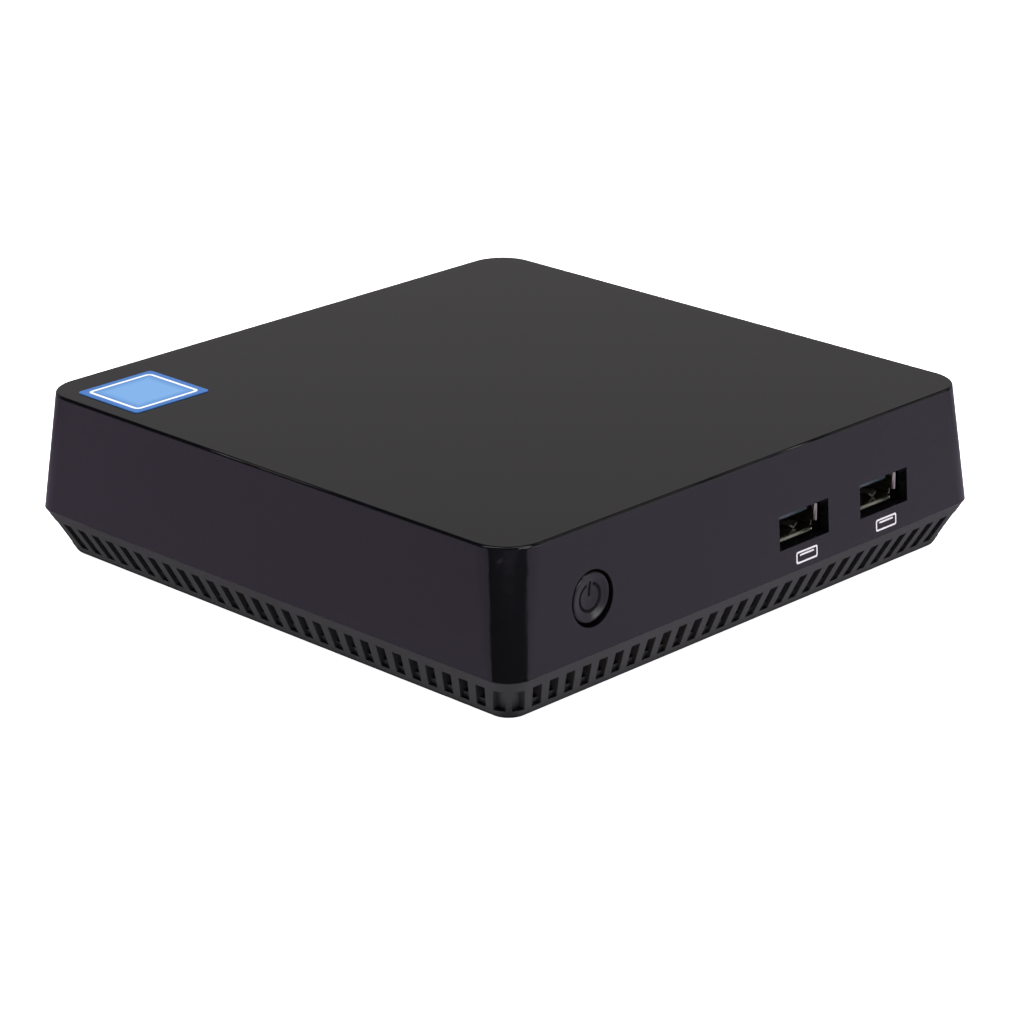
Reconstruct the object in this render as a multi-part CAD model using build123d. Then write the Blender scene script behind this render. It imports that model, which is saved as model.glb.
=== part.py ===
"""Mini PC: a square two-piece plastic case with a vented base ring, a power button and two USB ports
at the front, and a mainboard with its cooler, memory, drive, radio and rear ports inside.

Millimetres, +Z up, front face towards -Y. The origin is on the table, under the middle of the case.
"""

import math
import os

from build123d import *

# ---- driving dimensions -------------------------------------------------------------------------

# Case
FOOT_PROUD = 1.2                    # the rubber feet stand this far below the base
SEAM_Z = FOOT_PROUD + 8.9           # height of the line between base ring and upper shell
TOP_Z = FOOT_PROUD + 32.2           # flat top of the upper shell
SEAM_HALF = 63.0                    # half-width of the shell at the seam
TOP_HALF = 61.55                    # half-width of the shell at its top: the walls lean in
SEAM_CORNER, TOP_CORNER = 5.0, 7.8  # corner radii, which grow towards the top
WALL = 2.0
TOP_EDGE_R = 0.5
SEAM_CHAMFER = 0.2

# Base tray
TRAY_HALF_LOW, TRAY_HALF_HIGH = 58.4, 62.8
TRAY_CORNER_LOW, TRAY_CORNER_HIGH = 3.9, 4.9
TRAY_EDGE_R = 1.5
FLOOR = 1.8
TRAY_WALL = 2.24                    # measured level, through the sloping wall
TRAY_INNER_CORNER = 7.0
FLOOR_Z = FOOT_PROUD + FLOOR
SLOT_PITCH = 4.136                  # along the seam; the slots draw together as the wall slopes in
SLOT_W, SLOTS_PER_SIDE = 2.15, 28
SLOT_LOW, SLOT_SILL, SLOT_HIGH = FOOT_PROUD + 1.9, FOOT_PROUD + 3.3, FOOT_PROUD + 6.8
SLOT_RECESS = 0.75                  # below the sill the slots are only this deep
END_RECESS = 1.3                    # depth of the blind end slots, on the round corners
SLOT_REACH = 6.0                    # above the sill the slots go this far in, through the wall
LIP_H, LIP_HALF, LIP_CORNER = 1.6, 60.75, 3.2

# Feet, case screws and bracket inserts
FOOT_R, FOOT_H, FOOT_XY = 6.0, 1.6, 46.0
CASE_SCREW_AT = [(x, y) for x in (-53.0, 53.0) for y in (-28.0, 28.0)]
CASE_BOSS_R, CASE_BOSS_Z = 3.3, 10.5
CASE_SCREW_R, CASE_HEAD_R, CASE_HEAD_H = 1.5, 2.8, 1.5
CASE_HEAD_Z = FOOT_PROUD + 0.5
CASE_SCREW_END = 17.0
INSERT_SPACING, INSERT_R, INSERT_BORE_R, INSERT_H = 50.0, 2.3, 1.5, 4.0

# Mainboard
BOARD_Z, BOARD_T = 13.6, 1.6
BOARD_TOP = BOARD_Z + BOARD_T
BOARD_X, BOARD_Y = 116.0, 116.6
BOARD_SCREW_AT = [(x, y) for x in (-53.0, 53.0) for y in (-41.0, 41.0)]
BOARD_BOSS_R, BOARD_SCREW_R, BOARD_HEAD_R, BOARD_HEAD_H = 3.0, 1.25, 2.5, 1.6
NOTCH = 9.0                         # square notches in the board round the case bosses
CLEAR = 0.02                        # play of a plain screw shank in its hole

# Power button, on an axis parallel to Y
BUTTON_X, BUTTON_Z = -42.1, FOOT_PROUD + 19.0
BUTTON_HOLE_R, BUTTON_R = 5.1, 4.7
BUTTON_FACE_Y, FLANGE_Y = -62.07, -59.9
FLANGE_R, FLANGE_T = 6.0, 1.0
STEM_R, STEM_END_Y = 2.0, -56.0
DISH_DEPTH, RIM_R, RIM_FILLET = 0.6, 0.7, 0.5
MARK_R, MARK_STROKE, MARK_DEPTH, MARK_GAP = 2.45, 0.5, 0.12, 1.5
SWITCH_W, SWITCH_D, SWITCH_FRONT_Y = 8.0, 4.0, -54.6
PLUNGER_R, PLUNGER_END_Y, PLUNGER_PLAY = 1.75, -53.2, 0.1
BUTTON_TRAVEL = 0.5

# Type A sockets
USB_W, USB_H, USB_T, USB_DEPTH, USB_CORNER = 13.14, 5.72, 0.3, 14.0, 0.6
LEG_W, LEG_L, LEG_BACK = 1.0, 2.0, 9.0  # solder legs of a front socket
TONGUE_W, TONGUE_T, TONGUE_BACK, TONGUE_ROOT = 11.1, 1.84, 1.5, 2.0
TONGUE_NOSE_R, TONGUE_CHAMFER = 0.7, 0.4
TONGUE_RISE = 0.1                   # underside of the tongue above the socket's middle
FRONT_USB_X = (13.1, 35.65)
FRONT_USB_Z = FOOT_PROUD + 17.06
FRONT_MOUTH_Y = -59.85
FRONT_CUT_W, FRONT_CUT_H, FRONT_CUT_Z = 13.6, 6.5, FOOT_PROUD + 17.1
USB_STACK_PITCH = 8.6
CONTACT_W, CONTACT_T, CONTACT_L, CONTACT_PITCH, CONTACT_COUNT = 1.0, 0.15, 9.0, 2.3, 4

# Rear ports, all with their mouths on one plane
REAR_MOUTH_Y = 60.4
REAR_GAP = 0.3                      # between a rear port and its cut-out
REAR_USB_X, RJ45_X, HDMI_X, DC_X, AUDIO_X = 0.5, 17.75, 35.25, 49.2, -12.0
RJ45_W, RJ45_H, RJ45_DEPTH = 16.0, 13.5, 15.0
RJ45_BAY_W, RJ45_BAY_H, RJ45_BAY_DEPTH, RJ45_BAY_Z = 11.8, 7.6, 12.0, 4.6
RJ45_LATCH_W, RJ45_LATCH_H = 6.4, 2.6
RJ45_PIN_W, RJ45_PIN_T, RJ45_PIN_L, RJ45_PIN_PITCH, RJ45_PINS = 0.45, 0.3, 9.5, 1.02, 8
HDMI_W, HDMI_H, HDMI_DEPTH, HDMI_T = 15.0, 5.6, 12.0, 0.4
HDMI_TONGUE_W, HDMI_TONGUE_T, HDMI_TONGUE_RISE, HDMI_TONGUE_BACK, HDMI_CHAMFER = 11.3, 1.2, 0.4, 0.8, 1.4
DC_W, DC_H, DC_DEPTH, DC_Z, DC_BORE_R, DC_PIN_R, DC_BORE_DEPTH = 9.0, 11.0, 14.0, 21.7, 3.0, 1.0, 9.5
AUDIO_W, AUDIO_H, AUDIO_DEPTH, AUDIO_BORE_R, AUDIO_BORE_DEPTH = 7.0, 6.2, 13.0, 1.8, 12.0
COLLAR_R, COLLAR_L = 3.0, 1.0       # round collar at the mouth of the audio socket
GRILLE_X0, GRILLE_SLOTS, GRILLE_PITCH, GRILLE_W = -47.5, 8, 4.0, 2.2
GRILLE_Z0, GRILLE_Z1 = 18.0, 29.0

# Cooler
CPU_X, CPU_Y = 24.0, 8.0
CPU_SIZE, DIE_SIZE, PASTE_T = (31.0, 24.0, 1.2), (14.0, 10.0, 0.7), 0.1
SPREADER, SPREADER_T, SPREADER_SCREW, SPREADER_HEAD_R, SPREADER_HEAD_H = 40.0, 2.0, 17.0, 2.4, 1.4
PIPE_W, PIPE_T, PIPE_BEND, PIPE_Y, PIPE_START_Y = 8.0, 3.0, 14.0, 40.0, -8.0
FIN_X0, FIN_X1, FIN_Y0, FIN_Y1, FIN_Z0, FIN_Z1 = -48.5, -18.0, 34.0, 58.0, 17.0, 30.2
FIN_T, FIN_COUNT, FIN_CAP = 0.4, 13, 0.5
BLOWER_X, BLOWER_Y, BLOWER_HALF, BLOWER_WALL = -25.5, 9.0, 23.0, 1.2
BLOWER_Z0, BLOWER_Z1, BLOWER_FLOOR, COVER_T = 17.0, 29.0, 1.0, 0.8
SCROLL_R, INLET_R, DUCT_X1 = 20.8, 15.0, -18.0
HUB_R, HUB_WALL, BLADE_R, BLADES, BLADE_T, BLADE_LEAN = 9.0, 1.2, 19.4, 21, 0.8, 28.0
IMPELLER_Z0, IMPELLER_Z1 = 18.8, 28.2
STATOR_R, SHAFT_R, SHAFT_PLAY = 6.8, 1.0, 0.05
SHAFT_LIFT, STATOR_FLOOR, STATOR_GAP = 0.8, 0.5, 1.0
BLOWER_SCREW_R, BLOWER_HEAD_R, BLOWER_HEAD_H, BLOWER_LEG_R = 1.0, 1.9, 1.0, 2.2
BLOWER_SCREW_AT = [(-20.6, -20.6), (20.6, -20.6), (20.6, 20.6)]

# Cards and small parts
SOCKET_EDGE, SOCKET_WALL = 2.0, 1.0  # an edge socket is this much wider than its card, and its end wall
DIMM_X, DIMM_Y, DIMM_W, DIMM_L, DIMM_Z, DIMM_T, DIMM_SOCKET_D = -10.0, 30.0, 67.6, 30.0, 9.8, 1.0, 8.0
DIMM_CHIPS, DIMM_CHIP, DIMM_CHIP_PITCH, DIMM_CHIP_Y = 4, (11.0, 13.0), 16.0, -14.0
M2_W, M2_SOCKET_D, M2_OVERLAP = 22.0, 7.0, 0.5
SSD_L, SSD_X0, SSD_Y, SSD_Z = 80.0, -40.0, -35.0, 9.8
SSD_CHIPS, SSD_CHIP_W = [(12.0, 14.0), (34.0, 18.0), (58.0, 18.0)], 16.0
SSD_SCREW_BACK, SSD_HOLE_R, SSD_POST_R, SSD_POST_BORE, SSD_SCREW_L = 1.0, 1.3, 2.6, 1.02, 2.0
SSD_SCREW_R, SSD_HEAD_R, SSD_HEAD_H = 1.0, 2.3, 1.0
WIFI_L, WIFI_X0, WIFI_Y, WIFI_Z, WIFI_SOCKET_RISE = 30.0, 12.0, -31.0, 17.4, 2.0
WIFI_CAN, PLUG_R, PLUG_H, PLUG_X, PLUG_Y = (16.0, 18.0, 1.6), 1.2, 0.8, 4.0, 6.0
CARD_T, CHIP_T = 0.8, 1.2
CELL_X, CELL_Y, CELL_R, CELL_T, CELL_EDGE_R = -15.0, -32.0, 10.0, 3.2, 0.3
HOLDER_WALL, HOLDER_H, HOLDER_FLOOR = 1.2, 3.0, 0.8
HEADER_X, HEADER_Y, HEADER_W, HEADER_L, HEADER_H = -4.5, -19.5, 6.5, 4.5, 4.4
CHOKE, CHOKE_AT = (6.6, 6.6, 3.2), [(50.5, -14.0), (50.5, -5.0), (50.5, 4.0), (50.5, 13.0)]
CAP_R, CAP_H, CAP_AT = 3.15, 5.8, [(2.5, -16.0), (3.0, -24.0), (48.0, 21.0), (38.0, 34.0)]
ANTENNA_L, ANTENNA_W, ANTENNA_T = 30.0, 8.0, 0.4
ANTENNA_LEFT, ANTENNA_RIGHT = (-40.0, -36.0), (46.0, -4.0)
COAX_D, FAN_LEAD_D = 1.1, 1.6
# Lead waypoints, as steps from where each lead starts
RIGHT_LEAD = [(0, 0, 0), (5, 1, 1.5), (8, 5, 6)]
LEFT_LEAD = [(0, 0, 0), (-9, -5, 2.5), (-22, -7.5, 4.5), (-37, -7, 7)]
RIGHT_LEAD_END = [(0, 11, -0.8), (-1, 17, 0)]                    # from the antenna's x and its underside
LEFT_LEAD_END = [(-52, -4.5, -2.0), (-66, -1, -0.4), (-76, 0.5, 0)]
FAN_LEAD = [(-7, -4, 3), (0, 0, 5), (0, 0, 0)]

# Stickers
STICKER_X, STICKER_Y, STICKER_W, STICKER_L, STICKER_T, STICKER_R = -49.0, 46.1, 17.8, 17.1, 0.15, 0.8
LABEL_W, LABEL_L, LABEL_T, LABEL_R = 40.0, 26.0, 0.1, 1.0

PIECES = {}

# ---- helpers ------------------------------------------------------------------------------------

UP = (Align.CENTER, Align.CENTER, Align.MIN)


def block(x, y, z, size_x, size_y, size_z):
    """A box centred at x, y that stands on height z."""
    return Pos(x, y, z) * Box(size_x, size_y, size_z, align=UP)


def post(x, y, z, radius, height):
    """An upright cylinder that stands on height z."""
    return Pos(x, y, z) * Cylinder(radius, height, align=UP)


def rod(x, y, z, radius, length):
    """A cylinder that runs from y along +Y."""
    return Pos(x, y, z) * Rot(-90, 0, 0) * Cylinder(radius, length, align=UP)


def span(low, high):
    """A box from its lowest to its highest corner."""
    size = [b - a for a, b in zip(low, high)]
    return block((low[0] + high[0]) / 2, (low[1] + high[1]) / 2, low[2], *size)


def ring_slab(low, high):
    """A rounded square that changes from (half, corner, z) to another on its way up."""
    faces = [Pos(0, 0, z) * RectangleRounded(2 * half, 2 * half, corner) for half, corner, z in (low, high)]
    return loft(faces, ruled=True)


def shell_half(z):
    """Half-width of the upper shell's outside at height z."""
    return SEAM_HALF - (SEAM_HALF - TOP_HALF) * (z - SEAM_Z) / (TOP_Z - SEAM_Z)


def tray_half(z):
    """Half-width of the base tray's outside at height z."""
    return TRAY_HALF_LOW + (TRAY_HALF_HIGH - TRAY_HALF_LOW) * (z - FOOT_PROUD) / (SEAM_Z - FOOT_PROUD)


def screw(x, y, head_z, end_z, radius, head_radius, head_height):
    """A screw whose head sits on head_z; end_z below head_z points it down, above points it up."""
    low, high = min(head_z, end_z), max(head_z, end_z)
    head_low = head_z if end_z < head_z else head_z - head_height
    head = post(x, y, head_low, head_radius, head_height)
    recess_low = head_low + (0.5 * head_height if end_z < head_z else 0)
    recess = Pos(x, y, recess_low) * extrude(RegularPolygon(0.5 * head_radius, 6), 0.5 * head_height)
    return head + post(x, y, low, radius, high - low) - recess


def lead(points, diameter):
    """A round lead along straight runs joined by arcs as large as the runs allow."""
    spots = [Vector(*point) for point in points]
    radii = []
    for before, here, after in zip(spots, spots[1:], spots[2:]):
        turn = (here - before).get_angle(after - here)
        shorter = min((here - before).length, (after - here).length)
        radii.append(0.45 * shorter / math.tan(math.radians(turn / 2)))
    path = FilletPolyline(*spots, radius=radii)
    tube = sweep(Plane(spots[0], z_dir=spots[1] - spots[0]) * Circle(diameter / 2), path=path)
    expected = path.length * math.pi * diameter**2 / 4
    print("lead radii", [round(radius, 1) for radius in radii], "volume ratio", tube.volume / expected)
    return tube


def keep(name, shape):
    """Files one sub-part under its node name."""
    PIECES[name] = shape


# ---- case ---------------------------------------------------------------------------------------


def upper_shell():
    edge_z = SEAM_Z + SEAM_CHAMFER
    outside = ring_slab((shell_half(edge_z), SEAM_CORNER, edge_z), (TOP_HALF, TOP_CORNER, TOP_Z))
    outside = fillet(outside.faces().sort_by(Axis.Z)[-1].edges(), TOP_EDGE_R)
    outside += ring_slab(
        (SEAM_HALF - SEAM_CHAMFER, SEAM_CORNER, SEAM_Z),
        (shell_half(edge_z), SEAM_CORNER, edge_z),
    )
    ceiling = TOP_Z - WALL
    inside = ring_slab(
        (SEAM_HALF - WALL, SEAM_CORNER - WALL, SEAM_Z),
        (shell_half(ceiling) - WALL, TOP_CORNER - WALL, ceiling),
    )
    shell = outside - inside
    for x, y in CASE_SCREW_AT:
        shell += post(x, y, CASE_BOSS_Z, CASE_BOSS_R, ceiling - CASE_BOSS_Z)
        shell -= post(x, y, CASE_BOSS_Z, CASE_SCREW_R + CLEAR, CASE_SCREW_END + 1 - CASE_BOSS_Z)
    shell -= front_cuts()
    return shell - rear_cuts()


def front_cuts():
    """Button hole and the two socket openings, through the front wall."""
    y = -(SEAM_HALF + 1)
    depth = 3 * WALL
    cuts = rod(BUTTON_X, y, BUTTON_Z, BUTTON_HOLE_R, depth)
    for x in FRONT_USB_X:
        cuts += block(x, y + depth / 2, FRONT_CUT_Z - FRONT_CUT_H / 2, FRONT_CUT_W, depth, FRONT_CUT_H)
    return cuts


def rear_cuts():
    """Port openings and exhaust slots, through the rear wall."""
    y, depth = SEAM_HALF - WALL, 3 * WALL
    ports = [
        (REAR_USB_X, USB_W, USB_H + USB_STACK_PITCH),
        (RJ45_X, RJ45_W, RJ45_H),
        (HDMI_X, HDMI_W, HDMI_H),
        (DC_X, DC_W, DC_H),
        (AUDIO_X, AUDIO_W, AUDIO_H),
    ]
    cuts = None
    for x, width, height in ports:
        cut = block(x, y, BOARD_TOP - REAR_GAP, width + 2 * REAR_GAP, depth, height + 2 * REAR_GAP)
        cuts = cut if cuts is None else cuts + cut
    for index in range(GRILLE_SLOTS):
        x = GRILLE_X0 + index * GRILLE_PITCH
        cuts += block(x, y, GRILLE_Z0, GRILLE_W, depth, GRILLE_Z1 - GRILLE_Z0)
    return cuts


def vent_cut(seam_x, low, high, depth):
    """A cut into the tray's sloping front wall, which leans with the wall's own corner lines."""
    sections = []
    for z in (low, high):
        half = tray_half(z)
        section = Rectangle(SLOT_W, 2 * depth)
        sections.append(Pos(seam_x * half / TRAY_HALF_HIGH, -half, z) * section)
    return loft(sections, ruled=True)


def vent_row():
    """All vent cuts of the tray's front wall: open above the sill, shallow below it, blind at the ends."""
    last = SLOT_PITCH * (SLOTS_PER_SIDE - 1) / 2
    places = [index * SLOT_PITCH - last for index in range(SLOTS_PER_SIDE)]
    cuts = [vent_cut(x, SLOT_LOW, SLOT_HIGH, SLOT_RECESS) for x in places]
    cuts += [vent_cut(x, SLOT_SILL, SLOT_HIGH, SLOT_REACH) for x in places]
    cuts += [vent_cut(x, SLOT_LOW, SLOT_HIGH, END_RECESS) for x in (-last - SLOT_PITCH, last + SLOT_PITCH)]
    return cuts


def base_tray():
    tray = ring_slab(
        (TRAY_HALF_LOW, TRAY_CORNER_LOW, FOOT_PROUD),
        (TRAY_HALF_HIGH, TRAY_CORNER_HIGH, SEAM_Z),
    )
    tray = fillet(tray.faces().sort_by(Axis.Z)[0].edges(), TRAY_EDGE_R)
    tray += ring_slab((LIP_HALF, LIP_CORNER, SEAM_Z), (LIP_HALF, LIP_CORNER, SEAM_Z + LIP_H))
    ledge = tray_half(SLOT_HIGH) - TRAY_WALL
    tray -= ring_slab(
        (tray_half(FLOOR_Z) - TRAY_WALL, TRAY_INNER_CORNER, FLOOR_Z),
        (ledge, TRAY_INNER_CORNER, SLOT_HIGH),
    )
    tray -= ring_slab((ledge, TRAY_INNER_CORNER, SLOT_HIGH), (ledge, TRAY_INNER_CORNER, SEAM_Z + LIP_H))
    vents = vent_row()
    for turn in range(0, 360, 90):
        tray -= [Rot(0, 0, turn) * cut for cut in vents]
    for x, y in CASE_SCREW_AT:
        tray += post(x, y, FLOOR_Z, CASE_BOSS_R, CASE_BOSS_Z - FLOOR_Z)
        tray -= post(x, y, FOOT_PROUD, CASE_HEAD_R + 0.2, CASE_HEAD_Z + CASE_HEAD_H - FOOT_PROUD)
        tray -= post(x, y, FOOT_PROUD, CASE_SCREW_R + CLEAR, CASE_BOSS_Z - FOOT_PROUD)
    for x, y in BOARD_SCREW_AT:
        tray += post(x, y, FLOOR_Z, BOARD_BOSS_R, BOARD_Z - FLOOR_Z)
        tray -= post(x, y, FLOOR_Z + 3, BOARD_SCREW_R + CLEAR, BOARD_Z - FLOOR_Z - 3)
    for x, y in corner_points(FOOT_XY):
        tray -= post(x, y, FOOT_PROUD, FOOT_R + 0.1, FOOT_H - FOOT_PROUD)
    for x, y in corner_points(INSERT_SPACING / 2):
        tray += post(x, y, FLOOR_Z, INSERT_R + 1.5, INSERT_H + 1 - FLOOR)
        tray -= post(x, y, FOOT_PROUD, INSERT_R, INSERT_H)
    return tray


def corner_points(reach):
    """The four corners of a square about the middle of the case."""
    return [(x, y) for x in (-reach, reach) for y in (-reach, reach)]


def feet():
    names = ("front_left", "rear_left", "front_right", "rear_right")
    for name, (x, y) in zip(names, corner_points(FOOT_XY)):
        foot = post(x, y, 0, FOOT_R, FOOT_H)
        keep(f"foot_{name}", fillet(foot.faces().sort_by(Axis.Z)[0].edges(), 0.4))


def case_screws():
    head_top = CASE_HEAD_Z + CASE_HEAD_H
    made = [
        screw(x, y, head_top, CASE_SCREW_END, CASE_SCREW_R, CASE_HEAD_R, CASE_HEAD_H)
        for x, y in CASE_SCREW_AT
    ]
    return Compound(children=made)


def bracket_inserts():
    ring = Cylinder(INSERT_R, INSERT_H, align=UP) - Cylinder(INSERT_BORE_R, INSERT_H, align=UP)
    places = corner_points(INSERT_SPACING / 2)
    return Compound(children=[Pos(x, y, FOOT_PROUD) * ring for x, y in places])


def stickers():
    face = RectangleRounded(STICKER_W, STICKER_L, STICKER_R)
    keep("top_sticker", Pos(STICKER_X, STICKER_Y, TOP_Z) * extrude(face, STICKER_T))
    blank = RectangleRounded(LABEL_W, LABEL_L, LABEL_R)
    keep("base_label", Pos(0, 0, FOOT_PROUD - LABEL_T) * extrude(blank, LABEL_T))


# ---- power button -------------------------------------------------------------------------------


def is_rim(edge):
    """True for the two circles of the cap's own cylinder."""
    return math.isclose(edge.radius, BUTTON_R, abs_tol=0.01)


def power_button():
    """Stem, flange behind the wall, and a cap with a round rim, a hollowed face and a cut-in mark."""
    stem = STEM_END_Y - FLANGE_Y - FLANGE_T
    cap = FLANGE_T + FLANGE_Y - BUTTON_FACE_Y
    crest = BUTTON_R - RIM_R
    dish_r = (crest**2 + DISH_DEPTH**2) / (2 * DISH_DEPTH)
    button = post(0, 0, 0, BUTTON_R, cap) - Pos(0, 0, cap - DISH_DEPTH + dish_r) * Sphere(dish_r)
    rims = button.edges().filter_by(lambda edge: edge.geom_type == GeomType.CIRCLE and is_rim(edge))
    button = fillet(rims.sort_by(Axis.Z)[-1], RIM_FILLET)
    button += post(0, 0, 0, FLANGE_R, FLANGE_T) + post(0, 0, -stem, STEM_R, stem)
    ring = Circle(MARK_R + MARK_STROKE / 2) - Circle(MARK_R - MARK_STROKE / 2)
    ring -= Pos(0, MARK_R) * Rectangle(MARK_GAP, MARK_R)
    bar = Pos(0, 0.62 * MARK_R) * Rectangle(MARK_STROKE, 1.15 * MARK_R)
    mark = Pos(0, 0, cap - DISH_DEPTH - MARK_DEPTH) * extrude(ring + bar, 1)
    return Pos(BUTTON_X, FLANGE_Y + FLANGE_T, BUTTON_Z) * Rot(90, 0, 0) * (button - mark)


def switch_body():
    height = BUTTON_Z + SWITCH_W / 2 - BOARD_TOP
    body = block(BUTTON_X, SWITCH_FRONT_Y + SWITCH_D / 2, BOARD_TOP, SWITCH_W, SWITCH_D, height)
    depth = PLUNGER_END_Y + BUTTON_TRAVEL + 0.3 - SWITCH_FRONT_Y
    return body - rod(BUTTON_X, SWITCH_FRONT_Y, BUTTON_Z, PLUNGER_R + PLUNGER_PLAY, depth)


def switch_plunger():
    return rod(BUTTON_X, STEM_END_Y, BUTTON_Z, PLUNGER_R, PLUNGER_END_Y - STEM_END_Y)


# ---- mainboard ----------------------------------------------------------------------------------


def mainboard():
    board = block(0, 0, BOARD_Z, BOARD_X, BOARD_Y, BOARD_T)
    for x, y in CASE_SCREW_AT:
        board -= block(x + math.copysign(NOTCH / 4, x), y, BOARD_Z, 1.5 * NOTCH, NOTCH, BOARD_T)
    holes = [(x, y, BOARD_SCREW_R) for x, y in BOARD_SCREW_AT]
    holes += [(x, y, BLOWER_SCREW_R) for x, y in blower_screw_points()]
    holes += [(x, y, BOARD_SCREW_R) for x, y in spreader_screw_points()]
    for x, y, radius in holes:
        board -= post(x, y, BOARD_Z, radius + CLEAR, BOARD_T)
    return board


def board_screws():
    made = [
        screw(x, y, BOARD_TOP, FLOOR_Z + 4, BOARD_SCREW_R, BOARD_HEAD_R, BOARD_HEAD_H)
        for x, y in BOARD_SCREW_AT
    ]
    return Compound(children=made)


# ---- sockets ------------------------------------------------------------------------------------


def contact_row(x, y, z, count, pitch, width, length, thickness):
    """Flat contacts side by side, running back from y."""
    first = x - pitch * (count - 1) / 2
    return [block(first + i * pitch, y + length / 2, z, width, length, thickness) for i in range(count)]


def usb_contact_row(x, y, tongue_z):
    """The four contacts under a tongue, running back from y."""
    z = tongue_z - CONTACT_T
    return contact_row(x, y, z, CONTACT_COUNT, CONTACT_PITCH, CONTACT_W, CONTACT_L, CONTACT_T)


def front_usb(index, x):
    """One front socket: a metal shell, a plastic tongue and four contacts under the tongue."""
    mouth, back = FRONT_MOUTH_Y, FRONT_MOUTH_Y + USB_DEPTH
    low = FRONT_USB_Z - USB_H / 2
    shell = span((x - USB_W / 2, mouth, low), (x + USB_W / 2, back, low + USB_H))
    shell = fillet(shell.edges().filter_by(Axis.Y), USB_CORNER)
    bay = span(
        (x - USB_W / 2 + USB_T, mouth, low + USB_T),
        (x + USB_W / 2 - USB_T, back - USB_T, low + USB_H - USB_T),
    )
    shell -= fillet(bay.edges().filter_by(Axis.Y), USB_CORNER - USB_T)
    for side in (-1, 1):
        leg_x = x + side * (USB_W - LEG_W) / 2
        shell += block(leg_x, mouth + LEG_BACK, BOARD_TOP, LEG_W, LEG_L, low - BOARD_TOP)
    keep(f"front_usb_shell_{index}", shell)
    tongue_z = FRONT_USB_Z + TONGUE_RISE
    tongue = span(
        (x - TONGUE_W / 2, mouth + TONGUE_BACK, tongue_z),
        (x + TONGUE_W / 2, back - USB_T - TONGUE_ROOT, tongue_z + TONGUE_T),
    )
    nose = tongue.edges().filter_by(Axis.X).group_by(Axis.Y)[0].sort_by(Axis.Z)
    tongue = fillet(nose[-1], TONGUE_NOSE_R)
    nose = tongue.edges().filter_by(Axis.X).group_by(Axis.Y)[0].sort_by(Axis.Z)
    tongue = chamfer(nose[0], TONGUE_CHAMFER)
    root = span(
        (x - USB_W / 2 + 2 * USB_T, back - USB_T - TONGUE_ROOT, low + 2 * USB_T),
        (x + USB_W / 2 - 2 * USB_T, back - USB_T, low + USB_H - 2 * USB_T),
    )
    keep(f"front_usb_tongue_{index}", tongue + root)
    return usb_contact_row(x, mouth + TONGUE_BACK + 2 * TONGUE_CHAMFER, tongue_z)


def rear_usb():
    """Two sockets one above the other in one metal shell."""
    back = REAR_MOUTH_Y - USB_DEPTH
    middle_y = (back + REAR_MOUTH_Y) / 2
    shell = block(REAR_USB_X, middle_y, BOARD_TOP, USB_W, USB_DEPTH, USB_H + USB_STACK_PITCH)
    tongues, contacts = [], []
    for level in (0, USB_STACK_PITCH):
        low = BOARD_TOP + level
        shell -= span(
            (REAR_USB_X - USB_W / 2 + USB_T, back + USB_T, low + USB_T),
            (REAR_USB_X + USB_W / 2 - USB_T, REAR_MOUTH_Y, low + USB_H - USB_T),
        )
        tongue_z = low + USB_H / 2 + TONGUE_RISE
        tongue = span(
            (REAR_USB_X - TONGUE_W / 2, back + USB_T, tongue_z),
            (REAR_USB_X + TONGUE_W / 2, REAR_MOUTH_Y - TONGUE_BACK, tongue_z + TONGUE_T),
        )
        tongues.append(tongue)
        contacts += usb_contact_row(REAR_USB_X, back + TONGUE_ROOT, tongue_z)
    keep("rear_usb_shell", shell)
    keep("rear_usb_tongues", Compound(children=tongues))
    return contacts


def rj45():
    """Network socket: a housing with a stepped bay for the plug and its latch, and eight contacts."""
    bay_back = REAR_MOUTH_Y - RJ45_BAY_DEPTH
    body = block(RJ45_X, REAR_MOUTH_Y - RJ45_DEPTH / 2, BOARD_TOP, RJ45_W, RJ45_DEPTH, RJ45_H)
    bay_z = BOARD_TOP + RJ45_BAY_Z
    body -= span(
        (RJ45_X - RJ45_BAY_W / 2, bay_back, bay_z),
        (RJ45_X + RJ45_BAY_W / 2, REAR_MOUTH_Y, bay_z + RJ45_BAY_H),
    )
    body -= span(
        (RJ45_X - RJ45_LATCH_W / 2, bay_back, bay_z - RJ45_LATCH_H),
        (RJ45_X + RJ45_LATCH_W / 2, REAR_MOUTH_Y, bay_z),
    )
    keep("rj45_jack", body)
    contact_z = bay_z + RJ45_BAY_H - RJ45_PIN_T
    contacts = contact_row(
        RJ45_X, bay_back, contact_z, RJ45_PINS, RJ45_PIN_PITCH, RJ45_PIN_W, RJ45_PIN_L, RJ45_PIN_T
    )
    keep("rj45_contacts", Compound(children=contacts))


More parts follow.
